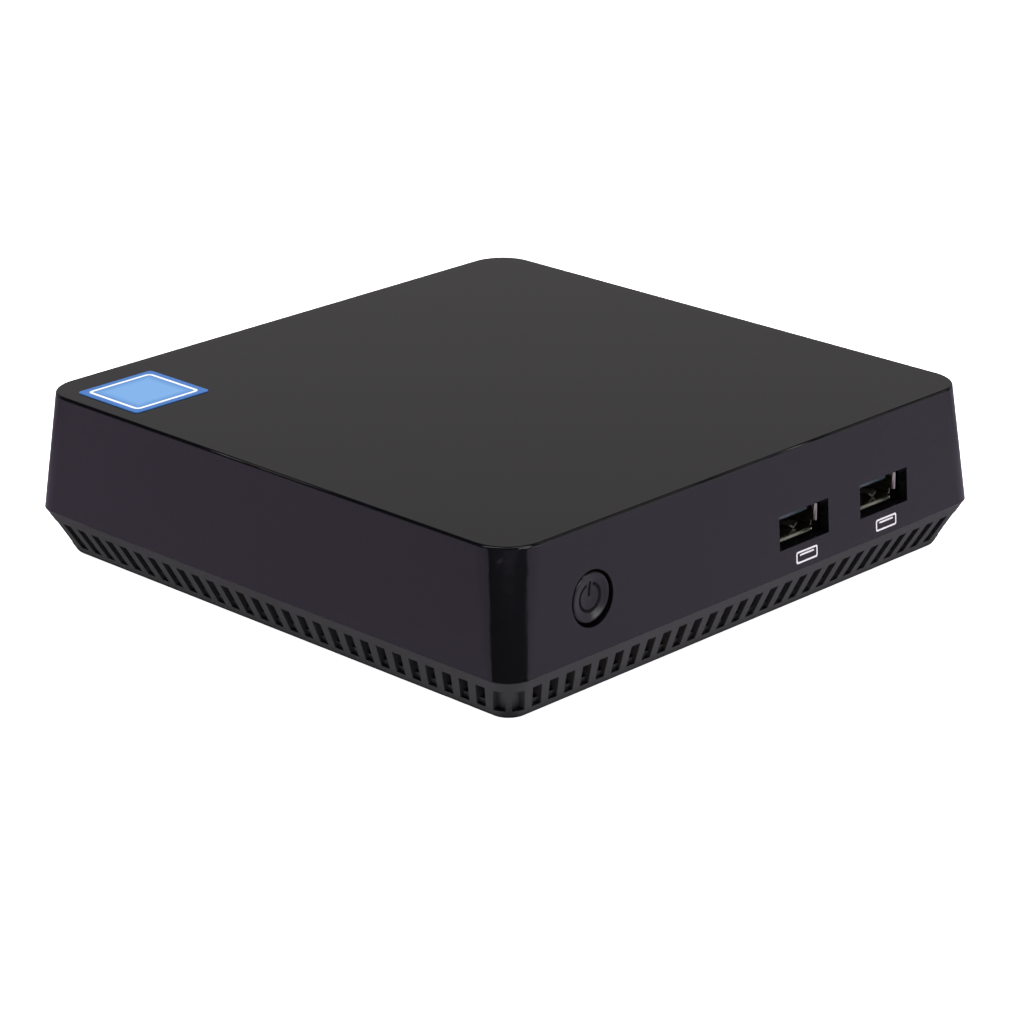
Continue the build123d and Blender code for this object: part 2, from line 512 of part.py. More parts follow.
def hdmi():
    """Video socket: a metal shell with chamfered lower corners round a flat tongue."""
    back, low = REAR_MOUTH_Y - HDMI_DEPTH, BOARD_TOP
    shell = span((HDMI_X - HDMI_W / 2, back, low), (HDMI_X + HDMI_W / 2, REAR_MOUTH_Y, low + HDMI_H))
    bay = span(
        (HDMI_X - HDMI_W / 2 + HDMI_T, back + HDMI_T, low + HDMI_T),
        (HDMI_X + HDMI_W / 2 - HDMI_T, REAR_MOUTH_Y, low + HDMI_H - HDMI_T),
    )
    lower = bay.edges().filter_by(Axis.Y).group_by(Axis.Z)[0]
    keep("hdmi_shell", shell - chamfer(lower, HDMI_CHAMFER))
    tongue_z = low + (HDMI_H - HDMI_TONGUE_T) / 2 + HDMI_TONGUE_RISE
    keep("hdmi_tongue", span(
        (HDMI_X - HDMI_TONGUE_W / 2, back + HDMI_T, tongue_z),
        (HDMI_X + HDMI_TONGUE_W / 2, REAR_MOUTH_Y - HDMI_TONGUE_BACK, tongue_z + HDMI_TONGUE_T),
    ))


def round_sockets():
    """Power inlet with its centre pin, and the audio socket."""
    body = block(DC_X, REAR_MOUTH_Y - DC_DEPTH / 2, BOARD_TOP, DC_W, DC_DEPTH, DC_H)
    floor_y = REAR_MOUTH_Y - DC_BORE_DEPTH
    keep("dc_jack", body - rod(DC_X, floor_y, DC_Z, DC_BORE_R, DC_BORE_DEPTH))
    keep("dc_pin", rod(DC_X, floor_y, DC_Z, DC_PIN_R, DC_BORE_DEPTH - 1))
    middle = BOARD_TOP + AUDIO_H / 2
    block_back = REAR_MOUTH_Y - AUDIO_DEPTH
    audio = span(
        (AUDIO_X - AUDIO_W / 2, block_back, BOARD_TOP),
        (AUDIO_X + AUDIO_W / 2, REAR_MOUTH_Y - COLLAR_L, BOARD_TOP + AUDIO_H),
    )
    audio += rod(AUDIO_X, REAR_MOUTH_Y - COLLAR_L, middle, COLLAR_R, COLLAR_L)
    bore_y = REAR_MOUTH_Y - AUDIO_BORE_DEPTH
    keep("audio_jack", audio - rod(AUDIO_X, bore_y, middle, AUDIO_BORE_R, AUDIO_BORE_DEPTH))


# ---- cooler -------------------------------------------------------------------------------------


def spreader_screw_points():
    return [(CPU_X + x, CPU_Y + y) for x, y in corner_points(SPREADER_SCREW)]


def blower_screw_points():
    return [(BLOWER_X + x, BLOWER_Y + y) for x, y in BLOWER_SCREW_AT]


def cpu_top():
    return BOARD_TOP + CPU_SIZE[2] + DIE_SIZE[2]


def heat_path():
    """Processor, paste, spreader plate, its screws and the flattened heat pipe."""
    die_z = BOARD_TOP + CPU_SIZE[2]
    keep("processor", block(CPU_X, CPU_Y, BOARD_TOP, *CPU_SIZE) + block(CPU_X, CPU_Y, die_z, *DIE_SIZE))
    keep("thermal_paste", block(CPU_X, CPU_Y, cpu_top(), DIE_SIZE[0], DIE_SIZE[1], PASTE_T))
    plate_z = cpu_top() + PASTE_T
    plate = block(CPU_X, CPU_Y, plate_z, SPREADER, SPREADER, SPREADER_T)
    screws = []
    for x, y in spreader_screw_points():
        plate -= post(x, y, plate_z, BOARD_SCREW_R + CLEAR, SPREADER_T)
        head_z = plate_z + SPREADER_T
        screws.append(screw(x, y, head_z, BOARD_Z, BOARD_SCREW_R, SPREADER_HEAD_R, SPREADER_HEAD_H))
    keep("heat_spreader", plate)
    keep("spreader_screws", Compound(children=screws))
    keep("heat_pipe", heat_pipe(FIN_X0 - 0.5))


def heat_pipe(end_x):
    """A flattened pipe from over the processor to end_x, through the fins."""
    middle_z = cpu_top() + PASTE_T + SPREADER_T + PIPE_T / 2
    start, corner = Vector(CPU_X, PIPE_START_Y, middle_z), Vector(CPU_X, PIPE_Y, middle_z)
    path = FilletPolyline(start, corner, Vector(end_x, PIPE_Y, middle_z), radius=PIPE_BEND)
    section = Plane(start, x_dir=(1, 0, 0), z_dir=(0, 1, 0)) * SlotOverall(PIPE_W, PIPE_T)
    return sweep(section, path=path)


def fin_stack():
    """Thin upright fins between two flanges, with the heat pipe through them."""
    width, length = FIN_X1 - FIN_X0, FIN_Y1 - FIN_Y0
    x, y = (FIN_X0 + FIN_X1) / 2, (FIN_Y0 + FIN_Y1) / 2
    stack = block(x, y, FIN_Z0, width, length, FIN_CAP)
    stack += block(x, y, FIN_Z1 - FIN_CAP, width, length, FIN_CAP)
    pitch = (width - FIN_T) / (FIN_COUNT - 1)
    for index in range(FIN_COUNT):
        stack += block(FIN_X0 + FIN_T / 2 + index * pitch, y, FIN_Z0, FIN_T, length, FIN_Z1 - FIN_Z0)
    return stack - heat_pipe(FIN_X0 - 5)


def blower():
    """Scroll housing, cover, screws, and the impeller on its shaft round the stator."""
    side = 2 * BLOWER_HALF
    housing = block(BLOWER_X, BLOWER_Y, BLOWER_Z0, side, side, BLOWER_Z1 - BLOWER_Z0)
    hollow = post(BLOWER_X, BLOWER_Y, BLOWER_Z0 + BLOWER_FLOOR, SCROLL_R, BLOWER_Z1)
    hollow += span(
        (BLOWER_X - SCROLL_R, BLOWER_Y, BLOWER_Z0 + BLOWER_FLOOR),
        (DUCT_X1, BLOWER_Y + BLOWER_HALF + 1, BLOWER_Z0 + BLOWER_Z1),
    )
    housing -= hollow
    cover = block(BLOWER_X, BLOWER_Y, BLOWER_Z1, side, side, COVER_T)
    cover -= post(BLOWER_X, BLOWER_Y, BLOWER_Z1, INLET_R, COVER_T)
    screws = []
    for x, y in blower_screw_points():
        housing += post(x, y, BOARD_TOP, BLOWER_LEG_R, BLOWER_Z0 - BOARD_TOP)
        housing -= post(x, y, BOARD_TOP, BLOWER_SCREW_R + CLEAR, BLOWER_Z1 - BOARD_TOP)
        cover -= post(x, y, BLOWER_Z1, BLOWER_SCREW_R + CLEAR, COVER_T)
        head_z = BLOWER_Z1 + COVER_T
        screws.append(screw(x, y, head_z, BOARD_Z, BLOWER_SCREW_R, BLOWER_HEAD_R, BLOWER_HEAD_H))
    keep("blower_housing", housing)
    keep("blower_cover", cover)
    keep("blower_screws", Compound(children=screws))
    keep("blower_impeller", impeller())
    stator_z = BLOWER_Z0 + BLOWER_FLOOR
    hub_z = IMPELLER_Z1 - HUB_WALL
    stator = post(BLOWER_X, BLOWER_Y, stator_z, STATOR_R, hub_z - STATOR_GAP - stator_z)
    bearing = post(BLOWER_X, BLOWER_Y, stator_z + STATOR_FLOOR, SHAFT_R + SHAFT_PLAY, BLOWER_Z1)
    keep("motor_stator", stator - bearing)
    shaft_z = stator_z + SHAFT_LIFT
    keep("impeller_shaft", post(BLOWER_X, BLOWER_Y, shaft_z, SHAFT_R, hub_z - shaft_z))


def impeller():
    hub = post(BLOWER_X, BLOWER_Y, IMPELLER_Z0, HUB_R, IMPELLER_Z1 - IMPELLER_Z0)
    hub -= post(BLOWER_X, BLOWER_Y, IMPELLER_Z0, HUB_R - HUB_WALL, IMPELLER_Z1 - HUB_WALL - IMPELLER_Z0)
    length = BLADE_R - HUB_R + HUB_WALL / 2
    blade = Pos(HUB_R - HUB_WALL / 2, 0, 0) * Rot(0, 0, BLADE_LEAN) * Box(
        length, BLADE_T, IMPELLER_Z1 - IMPELLER_Z0, align=(Align.MIN, Align.CENTER, Align.MIN)
    )
    for index in range(BLADES):
        hub += Pos(BLOWER_X, BLOWER_Y, IMPELLER_Z0) * Rot(0, 0, 360 / BLADES * index) * blade
    return hub


# ---- cards and small parts ----------------------------------------------------------------------


def card_socket(x, y, width, depth, low, high, slot_low, slot_high, towards):
    """A low edge socket with a slot on the side that the card slides in from."""
    body = block(x, y, low, width, depth, high - low)
    sx, sy = towards
    slot = block(
        x + sx * width / 4,
        y + sy * depth / 4,
        slot_low,
        width / 2 if sx else width - 2 * SOCKET_WALL,
        depth / 2 if sy else depth - 2 * SOCKET_WALL,
        slot_high - slot_low,
    )
    return body - slot


def memory():
    socket_y = DIMM_Y + DIMM_SOCKET_D / 2
    low, width = DIMM_Z - 1.5 * DIMM_T, DIMM_W + SOCKET_EDGE + SOCKET_WALL
    keep("memory_socket", card_socket(
        DIMM_X, socket_y, width, DIMM_SOCKET_D, low, BOARD_Z, DIMM_Z, DIMM_Z + DIMM_T, (0, -1)
    ))
    module = block(DIMM_X, socket_y - DIMM_L / 2, DIMM_Z, DIMM_W, DIMM_L, DIMM_T)
    for index in range(DIMM_CHIPS):
        x = DIMM_X + (index - (DIMM_CHIPS - 1) / 2) * DIMM_CHIP_PITCH
        module += block(x, DIMM_Y + DIMM_CHIP_Y, DIMM_Z - CHIP_T, *DIMM_CHIP, CHIP_T)
    keep("memory_module", module)


def drive():
    keep("ssd_socket", card_socket(
        SSD_X0 - M2_OVERLAP, SSD_Y, M2_SOCKET_D, M2_W + SOCKET_EDGE,
        SSD_Z - 1.5 * CARD_T, BOARD_Z, SSD_Z, SSD_Z + CARD_T, (1, 0)
    ))
    module = block(SSD_X0 + SSD_L / 2, SSD_Y, SSD_Z, SSD_L, M2_W, CARD_T)
    for x, size in SSD_CHIPS:
        module += block(SSD_X0 + x, SSD_Y, SSD_Z - CHIP_T, size, SSD_CHIP_W, CHIP_T)
    screw_x, post_z = SSD_X0 + SSD_L - SSD_SCREW_BACK, SSD_Z + CARD_T
    keep("ssd_module", module - post(screw_x, SSD_Y, SSD_Z, SSD_HOLE_R, CARD_T))
    standoff = post(screw_x, SSD_Y, post_z, SSD_POST_R, BOARD_Z - post_z)
    keep("ssd_standoff", standoff - post(screw_x, SSD_Y, post_z, SSD_POST_BORE, SSD_SCREW_L))
    end_z = post_z + SSD_SCREW_L
    keep("ssd_screw", screw(screw_x, SSD_Y, SSD_Z, end_z, SSD_SCREW_R, SSD_HEAD_R, SSD_HEAD_H))


def radio():
    """Wi-Fi card, its socket, two antennas under the top panel and their coaxial leads."""
    keep("wifi_socket", card_socket(
        WIFI_X0 - M2_OVERLAP, WIFI_Y, M2_SOCKET_D, M2_W + SOCKET_EDGE,
        BOARD_TOP, WIFI_Z + WIFI_SOCKET_RISE, WIFI_Z, WIFI_Z + CARD_T, (1, 0)
    ))
    card = block(WIFI_X0 + WIFI_L / 2, WIFI_Y, WIFI_Z, WIFI_L, M2_W, CARD_T)
    card += block(WIFI_X0 + WIFI_L / 2, WIFI_Y, WIFI_Z + CARD_T, *WIFI_CAN)
    plug_x, plug_z = WIFI_X0 + WIFI_L - PLUG_X, WIFI_Z + CARD_T
    low_y, high_y = WIFI_Y - PLUG_Y, WIFI_Y + PLUG_Y
    for y in (low_y, high_y):
        card += post(plug_x, y, plug_z, PLUG_R, PLUG_H)
    keep("wifi_module", card)
    ceiling = TOP_Z - WALL
    for side, (x, y), size in (
        ("left", ANTENNA_LEFT, (ANTENNA_L, ANTENNA_W)),
        ("right", ANTENNA_RIGHT, (ANTENNA_W, ANTENNA_L)),
    ):
        keep(f"antenna_{side}", block(x, y, ceiling - ANTENNA_T, *size, ANTENNA_T))
    start_z, end_z = plug_z + PLUG_H + COAX_D / 2, ceiling - ANTENNA_T - COAX_D / 2
    right = stepped((plug_x, high_y, start_z), RIGHT_LEAD)
    right += stepped((ANTENNA_RIGHT[0], high_y, end_z), RIGHT_LEAD_END)
    keep("antenna_lead_right", lead(right, COAX_D))
    left = stepped((plug_x, low_y, start_z), LEFT_LEAD) + stepped((plug_x, low_y, end_z), LEFT_LEAD_END)
    keep("antenna_lead_left", lead(left, COAX_D))


def stepped(start, steps):
    """Points at the given steps from a start point."""
    return [tuple(a + b for a, b in zip(start, step)) for step in steps]


def small_parts():
    """Clock battery in its holder, fan header and lead, chokes and capacitors."""
    cell_z = BOARD_TOP + HOLDER_FLOOR
    holder = post(CELL_X, CELL_Y, BOARD_TOP, CELL_R + HOLDER_WALL, HOLDER_H)
    keep("battery_holder", holder - post(CELL_X, CELL_Y, cell_z, CELL_R, HOLDER_H))
    keep("coin_cell", fillet(post(CELL_X, CELL_Y, cell_z, CELL_R, CELL_T).edges(), CELL_EDGE_R))
    keep("fan_header", block(HEADER_X, HEADER_Y, BOARD_TOP, HEADER_W, HEADER_L, HEADER_H))
    header = (HEADER_X, HEADER_Y, BOARD_TOP + HEADER_H)
    step_x, step_y, rise = FAN_LEAD[0]
    housing_y = BLOWER_Y - BLOWER_HALF
    points = stepped((HEADER_X, housing_y, header[2]), [(step_x, 0, rise), (step_x, step_y, rise)])
    keep("fan_lead", lead(points + stepped(header, FAN_LEAD[1:]), FAN_LEAD_D))
    keep("chokes", Compound(children=[block(x, y, BOARD_TOP, *CHOKE) for x, y in CHOKE_AT]))
    keep("capacitors", Compound(children=[post(x, y, BOARD_TOP, CAP_R, CAP_H) for x, y in CAP_AT]))


# ---- build --------------------------------------------------------------------------------------


def build():
    keep("upper_shell", upper_shell())
    keep("base_tray", base_tray())
    feet()
    keep("case_screws", case_screws())
    keep("bracket_inserts", bracket_inserts())
    stickers()
    keep("power_button", power_button())
    keep("switch_body", switch_body())
    keep("switch_plunger", switch_plunger())
    keep("mainboard", mainboard())
    keep("board_screws", board_screws())
    contacts = rear_usb()
    for index, x in enumerate(FRONT_USB_X, start=1):
        contacts += front_usb(index, x)
    keep("usb_contacts", Compound(children=contacts))
    rj45()
    hdmi()
    round_sockets()
    heat_path()
    keep("fin_stack", fin_stack())
    blower()
    memory()
    drive()
    radio()
    small_parts()


build()
os.makedirs("parts", exist_ok=True)
for node, shape in PIECES.items():
    export_step(shape, f"parts/{node}.step")
print(len(PIECES), "nodes")
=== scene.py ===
"""Looks of a small square desktop computer: case, button, sockets, sticker and what is inside.

Everything is in metres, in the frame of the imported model: +Z up, the front face towards -Y, the table at 0.
"""

import math

import bmesh
import bpy
from bpy.props import FloatProperty, FloatVectorProperty, PointerProperty
from mathutils import Matrix, Vector


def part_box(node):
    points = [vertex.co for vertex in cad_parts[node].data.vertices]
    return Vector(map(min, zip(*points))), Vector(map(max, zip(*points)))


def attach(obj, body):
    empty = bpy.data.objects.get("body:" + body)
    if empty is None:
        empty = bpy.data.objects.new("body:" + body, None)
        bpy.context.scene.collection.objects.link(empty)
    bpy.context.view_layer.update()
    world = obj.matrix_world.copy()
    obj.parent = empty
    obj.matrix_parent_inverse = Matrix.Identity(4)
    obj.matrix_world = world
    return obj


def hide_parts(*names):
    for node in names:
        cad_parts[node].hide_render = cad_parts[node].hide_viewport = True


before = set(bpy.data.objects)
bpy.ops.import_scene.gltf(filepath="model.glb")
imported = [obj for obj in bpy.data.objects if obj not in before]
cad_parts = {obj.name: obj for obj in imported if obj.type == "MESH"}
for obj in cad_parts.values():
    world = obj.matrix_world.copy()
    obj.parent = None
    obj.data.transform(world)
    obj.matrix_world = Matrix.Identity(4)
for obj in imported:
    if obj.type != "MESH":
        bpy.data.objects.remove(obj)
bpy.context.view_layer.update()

bl_info = {
    "name": "Mini PC looks",
    "version": (1, 0, 0),
    "blender": (4, 5, 0),
    "location": "View3D > Sidebar > Mini PC",
    "description": "Finishes, printed marks, sockets and studio for a small square desktop computer",
    "category": "Object",
}

MM = 0.001
BODY, BUTTON_BODY = "case", "power_button"

SLOW_GRAINS = 40          # slow tone changes are this many grains across
FINE_DETAIL = 6.0         # octaves of the finest grain
NOISE_SPAN = (0.3, 0.7)   # noise seldom goes beyond these values
LINE_STRETCH = 50         # rolled and drawn lines are this many times as long as they are wide


def linear(hex_code):
    """An sRGB hex colour as linear red, green and blue."""
    levels = [int(hex_code[i:i + 2], 16) / 255 for i in (1, 3, 5)]
    return tuple(c / 12.92 if c <= 0.04045 else ((c + 0.055) / 1.055) ** 2.4 for c in levels)


def length(name, description, millimetres):
    return FloatProperty(name=name, description=description, default=millimetres * MM, min=0.0,
                         subtype="DISTANCE", unit="LENGTH", precision=5)


def angle(name, description, degrees):
    return FloatProperty(name=name, description=description, default=math.radians(degrees),
                         subtype="ANGLE", unit="ROTATION")


def colour(name, description, hex_code):
    return FloatVectorProperty(name=name, description=description, default=linear(hex_code),
                               min=0.0, max=1.0, size=3, subtype="COLOR")


def share(name, description, default):
    return FloatProperty(name=name, description=description, default=default, min=0.0, max=1.0,
                         subtype="FACTOR")


# ---- what a user may change -----------------------------------------------------------------------


class CaseLook(bpy.types.PropertyGroup):
    """Colours and gloss of the moulded case."""

    shell_colour: colour("Shell", "Black ABS of the upper shell", "#08080A")
    tray_colour: colour("Tray", "Dark grey ABS of the vented tray", "#1B1B1C")
    shell_roughness: share("Shell roughness", "Roughness of the polished mould", 0.13)
    tray_roughness: share("Tray roughness", "Roughness of the etched mould", 0.42)
    grain: length("Mould grain", "Size of the finest moulding texture", 0.35)
    top_half: length("Top half-width", "Half-width of the shell at its flat top", 61.55)


class MarkLook(bpy.types.PropertyGroup):
    """Printed marks on the front face and the sunk mark of the button."""

    ink_colour: colour("Ink", "Pad-printing ink", "#BDB8C0")
    paint_colour: colour("Button mark", "Dark paint in the button's mark", "#0B0B0D")
    mark_radius: length("Button mark radius", "Radius of the ring in the button", 2.45)
    mark_stroke: length("Button mark stroke", "Line width of the button's mark", 0.64)
    mark_gap: angle("Button mark gap", "Half of the opening at the top of the ring", 21.0)
    dish_depth: length("Dish depth", "Depth of the button's hollow face", 0.6)
    dish_radius: length("Dish radius", "Radius of the ball that fits the button's hollow face", 13.63)
    width: length("Width", "Width of a port mark", 5.9)
    height: length("Height", "Height of a port mark", 2.3)
    stroke: length("Stroke", "Line width of a port mark", 0.34)
    corner: length("Corner", "Outer corner radius of a port mark", 0.45)
    inner_corner: length("Inner corner", "Inner corner radius of a port mark", 0.2)
    bar_corner: length("Bar corner", "Corner radius of a port mark's bar", 0.08)
    bar_share: share("Bar", "Length of a port mark's bar, in widths of the mark", 0.66)
    bar_rise: length("Bar rise", "Bar above the middle of a port mark", 0.414)
    shift: length("Shift", "Middle of a port mark to the right of the middle of its socket", 0.55)
    drop: length("Drop", "Middle of a port mark below the middle of its socket", 5.75)
    ink: length("Ink thickness", "Thickness of the printed ink", 0.012)


class StickerLook(bpy.types.PropertyGroup):
    """The printed square sticker on the top."""

    edge_colour: colour("Edge", "Blue at the sticker's edge", "#3D70B4")
    centre_colour: colour("Centre", "Light blue in the middle", "#70A0D4")
    line_colour: colour("Line", "White line inside the edge", "#F4F8FC")
    line_inset: length("Line inset", "From the sticker's edge to the middle of the line", 1.6)
    line_width: length("Line width", "Width of the white line", 0.62)
    line_corner: length("Line corner", "Corner radius of the white line", 0.9)


class SocketLook(bpy.types.PropertyGroup):
    """Sizes of the pressed metal socket shells."""

    height: length("Height", "Outside height of a front shell", 5.72)
    sheet: length("Sheet", "Thickness of the pressed sheet", 0.3)
    corner: length("Corner", "Outer corner radius of a shell", 0.6)
    lip_back: length("Lip", "Length of the flared lips at the mouth", 1.0)
    lip_gap: length("Lip gap", "Lips end this far before the corners of the shell", 1.2)
    spring_width: length("Spring width", "Width of a contact spring", 1.9)
    spring_sheet: length("Spring sheet", "Thickness of a contact spring", 0.34)
    spring_rise: length("Spring rise", "Height of a contact spring's turned-up edges", 0.75)
    spring_offset: length("Spring offset", "Contact spring from the middle of the socket", 2.4)
    spring_front: length("Spring front", "Tip of a contact spring behind the mouth", 1.9)


class StudioLook(bpy.types.PropertyGroup):
    """Camera and lights."""

    azimuth: angle("Azimuth", "Camera direction, from the front towards the right", -45.261)
    elevation: angle("Elevation", "Camera height angle", 20.022)
    roll: angle("Roll", "Camera roll", -0.423)
    distance: length("Distance", "Camera to the middle of the case", 680.09)
    aim_height: length("Aim height", "Height of the point the camera looks at", 16.31)
    focal: FloatProperty(name="Focal length", description="Lens, on a 36 mm sensor", default=128.51, min=1.0)
    shift: FloatProperty(name="Shift", description="Upward lens shift, in frame widths", default=-0.03352)
    floor_colour: colour("Floor", "Pale studio table", "#F4F4F4")
    floor_glow: FloatProperty(name="Floor glow", description="Light that the table sends back",
                              default=1.1, min=0.0)
    wall_colour: colour("Wall", "Pale wall round the table", "#8F8C8D")
    ceiling_colour: colour("Ceiling", "Dark upper part of the studio", "#2A2A2B")
    left_card: colour("Left card", "Grey card that the left side reflects", "#B4A4BE")
    front_card: colour("Front card", "Grey card that the front reflects", "#C5B9D1")
    near_left: colour("Near left card", "Grey card that the tray's left side reflects", "#8F8B92")
    near_front: colour("Near front card", "Grey card that the tray's front reflects", "#ABA6AF")


# ---- helpers ----------------------------------------------------------------------------------------


def add(tree, kind, links=None, **settings):
    """Adds a shader node: settings are its own values, links maps an input to a socket or a number."""
    made = tree.nodes.new(kind)
    for key, value in settings.items():
        setattr(made, key, value)
    for key, value in (links or {}).items():
        if isinstance(value, bpy.types.NodeSocket):
            tree.links.new(value, made.inputs[key])
        else:
            made.inputs[key].default_value = value
    return made


def start_material(name, **sockets):
    """A new material with a principled shader; returns it with its tree, shader and object coordinates."""
    made = bpy.data.materials.new(name)
    made.use_nodes = True
    tree = made.node_tree
    tree.nodes.clear()
    values = {key.replace("_", " "): value for key, value in sockets.items()}
    shader = add(tree, "ShaderNodeBsdfPrincipled", values)
    add(tree, "ShaderNodeOutputMaterial", {"Surface": shader.outputs["BSDF"]})
    place = add(tree, "ShaderNodeTexCoord").outputs["Object"]
    return made, tree, shader, place


def tint(tree, factor, low, high, start=0.0, end=1.0):
    """Blends between two linear colours as factor goes from start to end."""
    ramp = add(tree, "ShaderNodeValToRGB", {"Fac": factor})
    for stop, position, rgb in zip(ramp.color_ramp.elements, (start, end), (low, high)):
        stop.position = position
        stop.color = (*rgb, 1.0)
    return ramp.outputs["Color"]


def maths(tree, operation, *numbers):
    """One sum on sockets or numbers."""
    return add(tree, "ShaderNodeMath", dict(enumerate(numbers)), operation=operation).outputs[0]


def between(tree, value, low, high, first=0.0, last=1.0):
    """Goes from first to last as value goes from low to high, and stays at first or last outside them."""
    links = {"Value": value, "From Min": low, "From Max": high, "To Min": first, "To Max": last}
    return add(tree, "ShaderNodeMapRange", links).outputs["Result"]


def noise(tree, place, grain, detail=3.0):
    """Noise whose lumps are about grain metres across."""
    made = add(tree, "ShaderNodeTexNoise", {"Vector": place, "Scale": 1.0 / grain, "Detail": detail})
    return made.outputs["Fac"]


def relief(tree, shader, height, depth):
    """Bumps the shader by height times depth metres."""
    bump = add(tree, "ShaderNodeBump", {"Height": height, "Distance": depth, "Strength": 1.0})
    tree.links.new(bump.outputs["Normal"], shader.inputs["Normal"])


def shades(rgb, spread_by):
    """A slightly darker and a slightly lighter version of a colour."""
    return [tuple(min(1.0, c * (1 + sign * spread_by)) for c in rgb) for sign in (-1, 1)]


def grained(name, rgb, roughness, grain, depth, variation=0.1, gloss_spread=0.05, **sockets):
    """A moulded or cast finish: fine grain in relief and in gloss, with slow tone changes."""
    made, tree, shader, place = start_material(name, **sockets)
    slow = noise(tree, place, SLOW_GRAINS * grain)
    fine = noise(tree, place, grain, FINE_DETAIL)
    tree.links.new(tint(tree, slow, *shades(rgb, variation), *NOISE_SPAN), shader.inputs["Base Color"])
    rough = between(tree, fine, 0.0, 1.0, roughness - gloss_spread, roughness + gloss_spread)
    tree.links.new(rough, shader.inputs["Roughness"])
    relief(tree, shader, fine, depth)
    return made


def brushed(name, rgb, roughness, line, axis, depth=0.004 * MM):
    """A rolled or drawn metal: lines of the given width along an axis, with gloss that follows them."""
    made, tree, shader, place = start_material(name, Metallic=1.0)
    scale = [1.0 / line] * 3
    scale[axis] /= LINE_STRETCH
    stretched = add(tree, "ShaderNodeMapping", {"Vector": place, "Scale": scale}).outputs["Vector"]
    lines = noise(tree, stretched, 1.0, 4.0)
    tree.links.new(tint(tree, lines, *shades(rgb, 0.12), *NOISE_SPAN), shader.inputs["Base Color"])
    rough = between(tree, lines, 0.0, 1.0, roughness * 0.7, roughness * 1.3)
    tree.links.new(rough, shader.inputs["Roughness"])
    relief(tree, shader, lines, depth)
    return made


def paint(material, *names):
    """Gives CAD nodes or pieces a material."""
    for name in names:
        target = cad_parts.get(name) or bpy.data.objects[name]
        target.data.materials.clear()
        target.data.materials.append(material)


def piece(name, mesh_data, material, body, replaced=(), smooth_angle=30.0):
    """Turns bmesh geometry into a piece that rides on a body."""
    bmesh.ops.recalc_face_normals(mesh_data, faces=mesh_data.faces)
    mesh = bpy.data.meshes.new(name)
    mesh_data.to_mesh(mesh)
    mesh_data.free()
    made = bpy.data.objects.new(name, mesh)
    bpy.context.scene.collection.objects.link(made)
    mesh.materials.append(material)
    mesh.shade_smooth()
    mesh.set_sharp_from_angle(angle=math.radians(smooth_angle))
    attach(made, body)
    if replaced:
        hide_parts(*replaced)
    return made


def rounded_loop(width, height, radius, steps=6):
    """Points of a rounded rectangle about the origin, counter-clockwise."""
    points = []
    for quarter, (sx, sy) in enumerate(((1, 1), (-1, 1), (-1, -1), (1, -1))):
        centre = Vector((sx * (width / 2 - radius), sy * (height / 2 - radius)))
        for step in range(steps + 1):
            turn = math.radians(90 * (quarter + step / steps))
            points.append(centre + radius * Vector((math.cos(turn), math.sin(turn))))
    return points


def skin(mesh_data, rings, closed=True):
    """Joins rings of points, each as long as the next, with quads; returns the rings of vertices."""
    made = [[mesh_data.verts.new(point) for point in ring] for ring in rings]
    for near, far in zip(made, made[1:]):
        count = len(near) if closed else len(near) - 1
        for i in range(count):
            j = (i + 1) % len(near)
            mesh_data.faces.new((near[i], near[j], far[j], far[i]))
    return made


def middle(node):
    low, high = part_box(node)
    return (low + high) / 2


# ---- materials --------------------------------------------------------------------------------------


def shell_abs(look):
    # Black ABS from a polished mould: a near-black body under a clear, even gloss with faint flow marks.
    return grained("polished_moulded_abs", look.shell_colour, look.shell_roughness, look.grain, 0.0006 * MM,
                   0.06, 0.03, IOR=1.5)


def button_abs(look):
    # Black ABS from a polished mould, dulled a little by fingers: a softer highlight in the hollow face.
    return grained("satin_moulded_abs", look.shell_colour, 0.2, look.grain, 0.0008 * MM, 0.06, 0.04, IOR=1.5)


def tray_abs(look):
    # Dark grey ABS from an etched mould: a dull, slightly lighter skin that spreads highlights.
    return grained("etched_moulded_abs", look.tray_colour, look.tray_roughness, look.grain, 0.004 * MM,
                   0.08, 0.06, IOR=1.5)


def foot_rubber():
    # Moulded silicone rubber: soft black, no clear highlight, a little dust in its grain.
    return grained("moulded_silicone_rubber", linear("#161616"), 0.78, 0.25 * MM, 0.01 * MM, 0.25, 0.1)


def pad_ink(look):
    # Pad-printed ink: a thin, flat white film that follows the grain of the plastic.
    return grained("pad_printed_ink", look.ink_colour, 0.55, 0.2 * MM, 0.002 * MM, 0.05, 0.08)


def mark_paint(look):
    # Dark enamel wiped into the sunk mark of the button.
    return grained("wiped_enamel", look.paint_colour, 0.8, 0.15 * MM, 0.003 * MM, 0.15, 0.08,
                   Specular_IOR_Level=0.12)


def socket_nylon():
    # Glass-filled black nylon, moulded: dark with fine specks of fibre.
    return grained("glass_filled_nylon", linear("#121214"), 0.3, 0.12 * MM, 0.002 * MM, 0.3, 0.1)


def nickel_sheet():
    # Nickel-plated steel, rolled and pressed: bright with faint lines along the roll.
    return brushed("nickel_plated_pressed_steel", linear("#BDBAAC"), 0.24, 0.05 * MM, 1)


def spring_sheet():
    # Tin-plated bronze, stamped: a soft, pale shine with faint lines.
    return brushed("tin_plated_bronze", linear("#DAD7CC"), 0.36, 0.05 * MM, 1)


def zinc_screw():
    # Zinc-plated cold-headed steel: a pale, slightly uneven grey shine.
    return grained("zinc_plated_steel", linear("#B9BBBD"), 0.34, 0.1 * MM, 0.003 * MM, 0.15, 0.1,
                   Metallic=1.0)


def knurled_brass():
    # Turned brass: warm yellow with fine rings from the tool.
    return brushed("turned_brass", linear("#C9A24F"), 0.28, 0.06 * MM, 0)


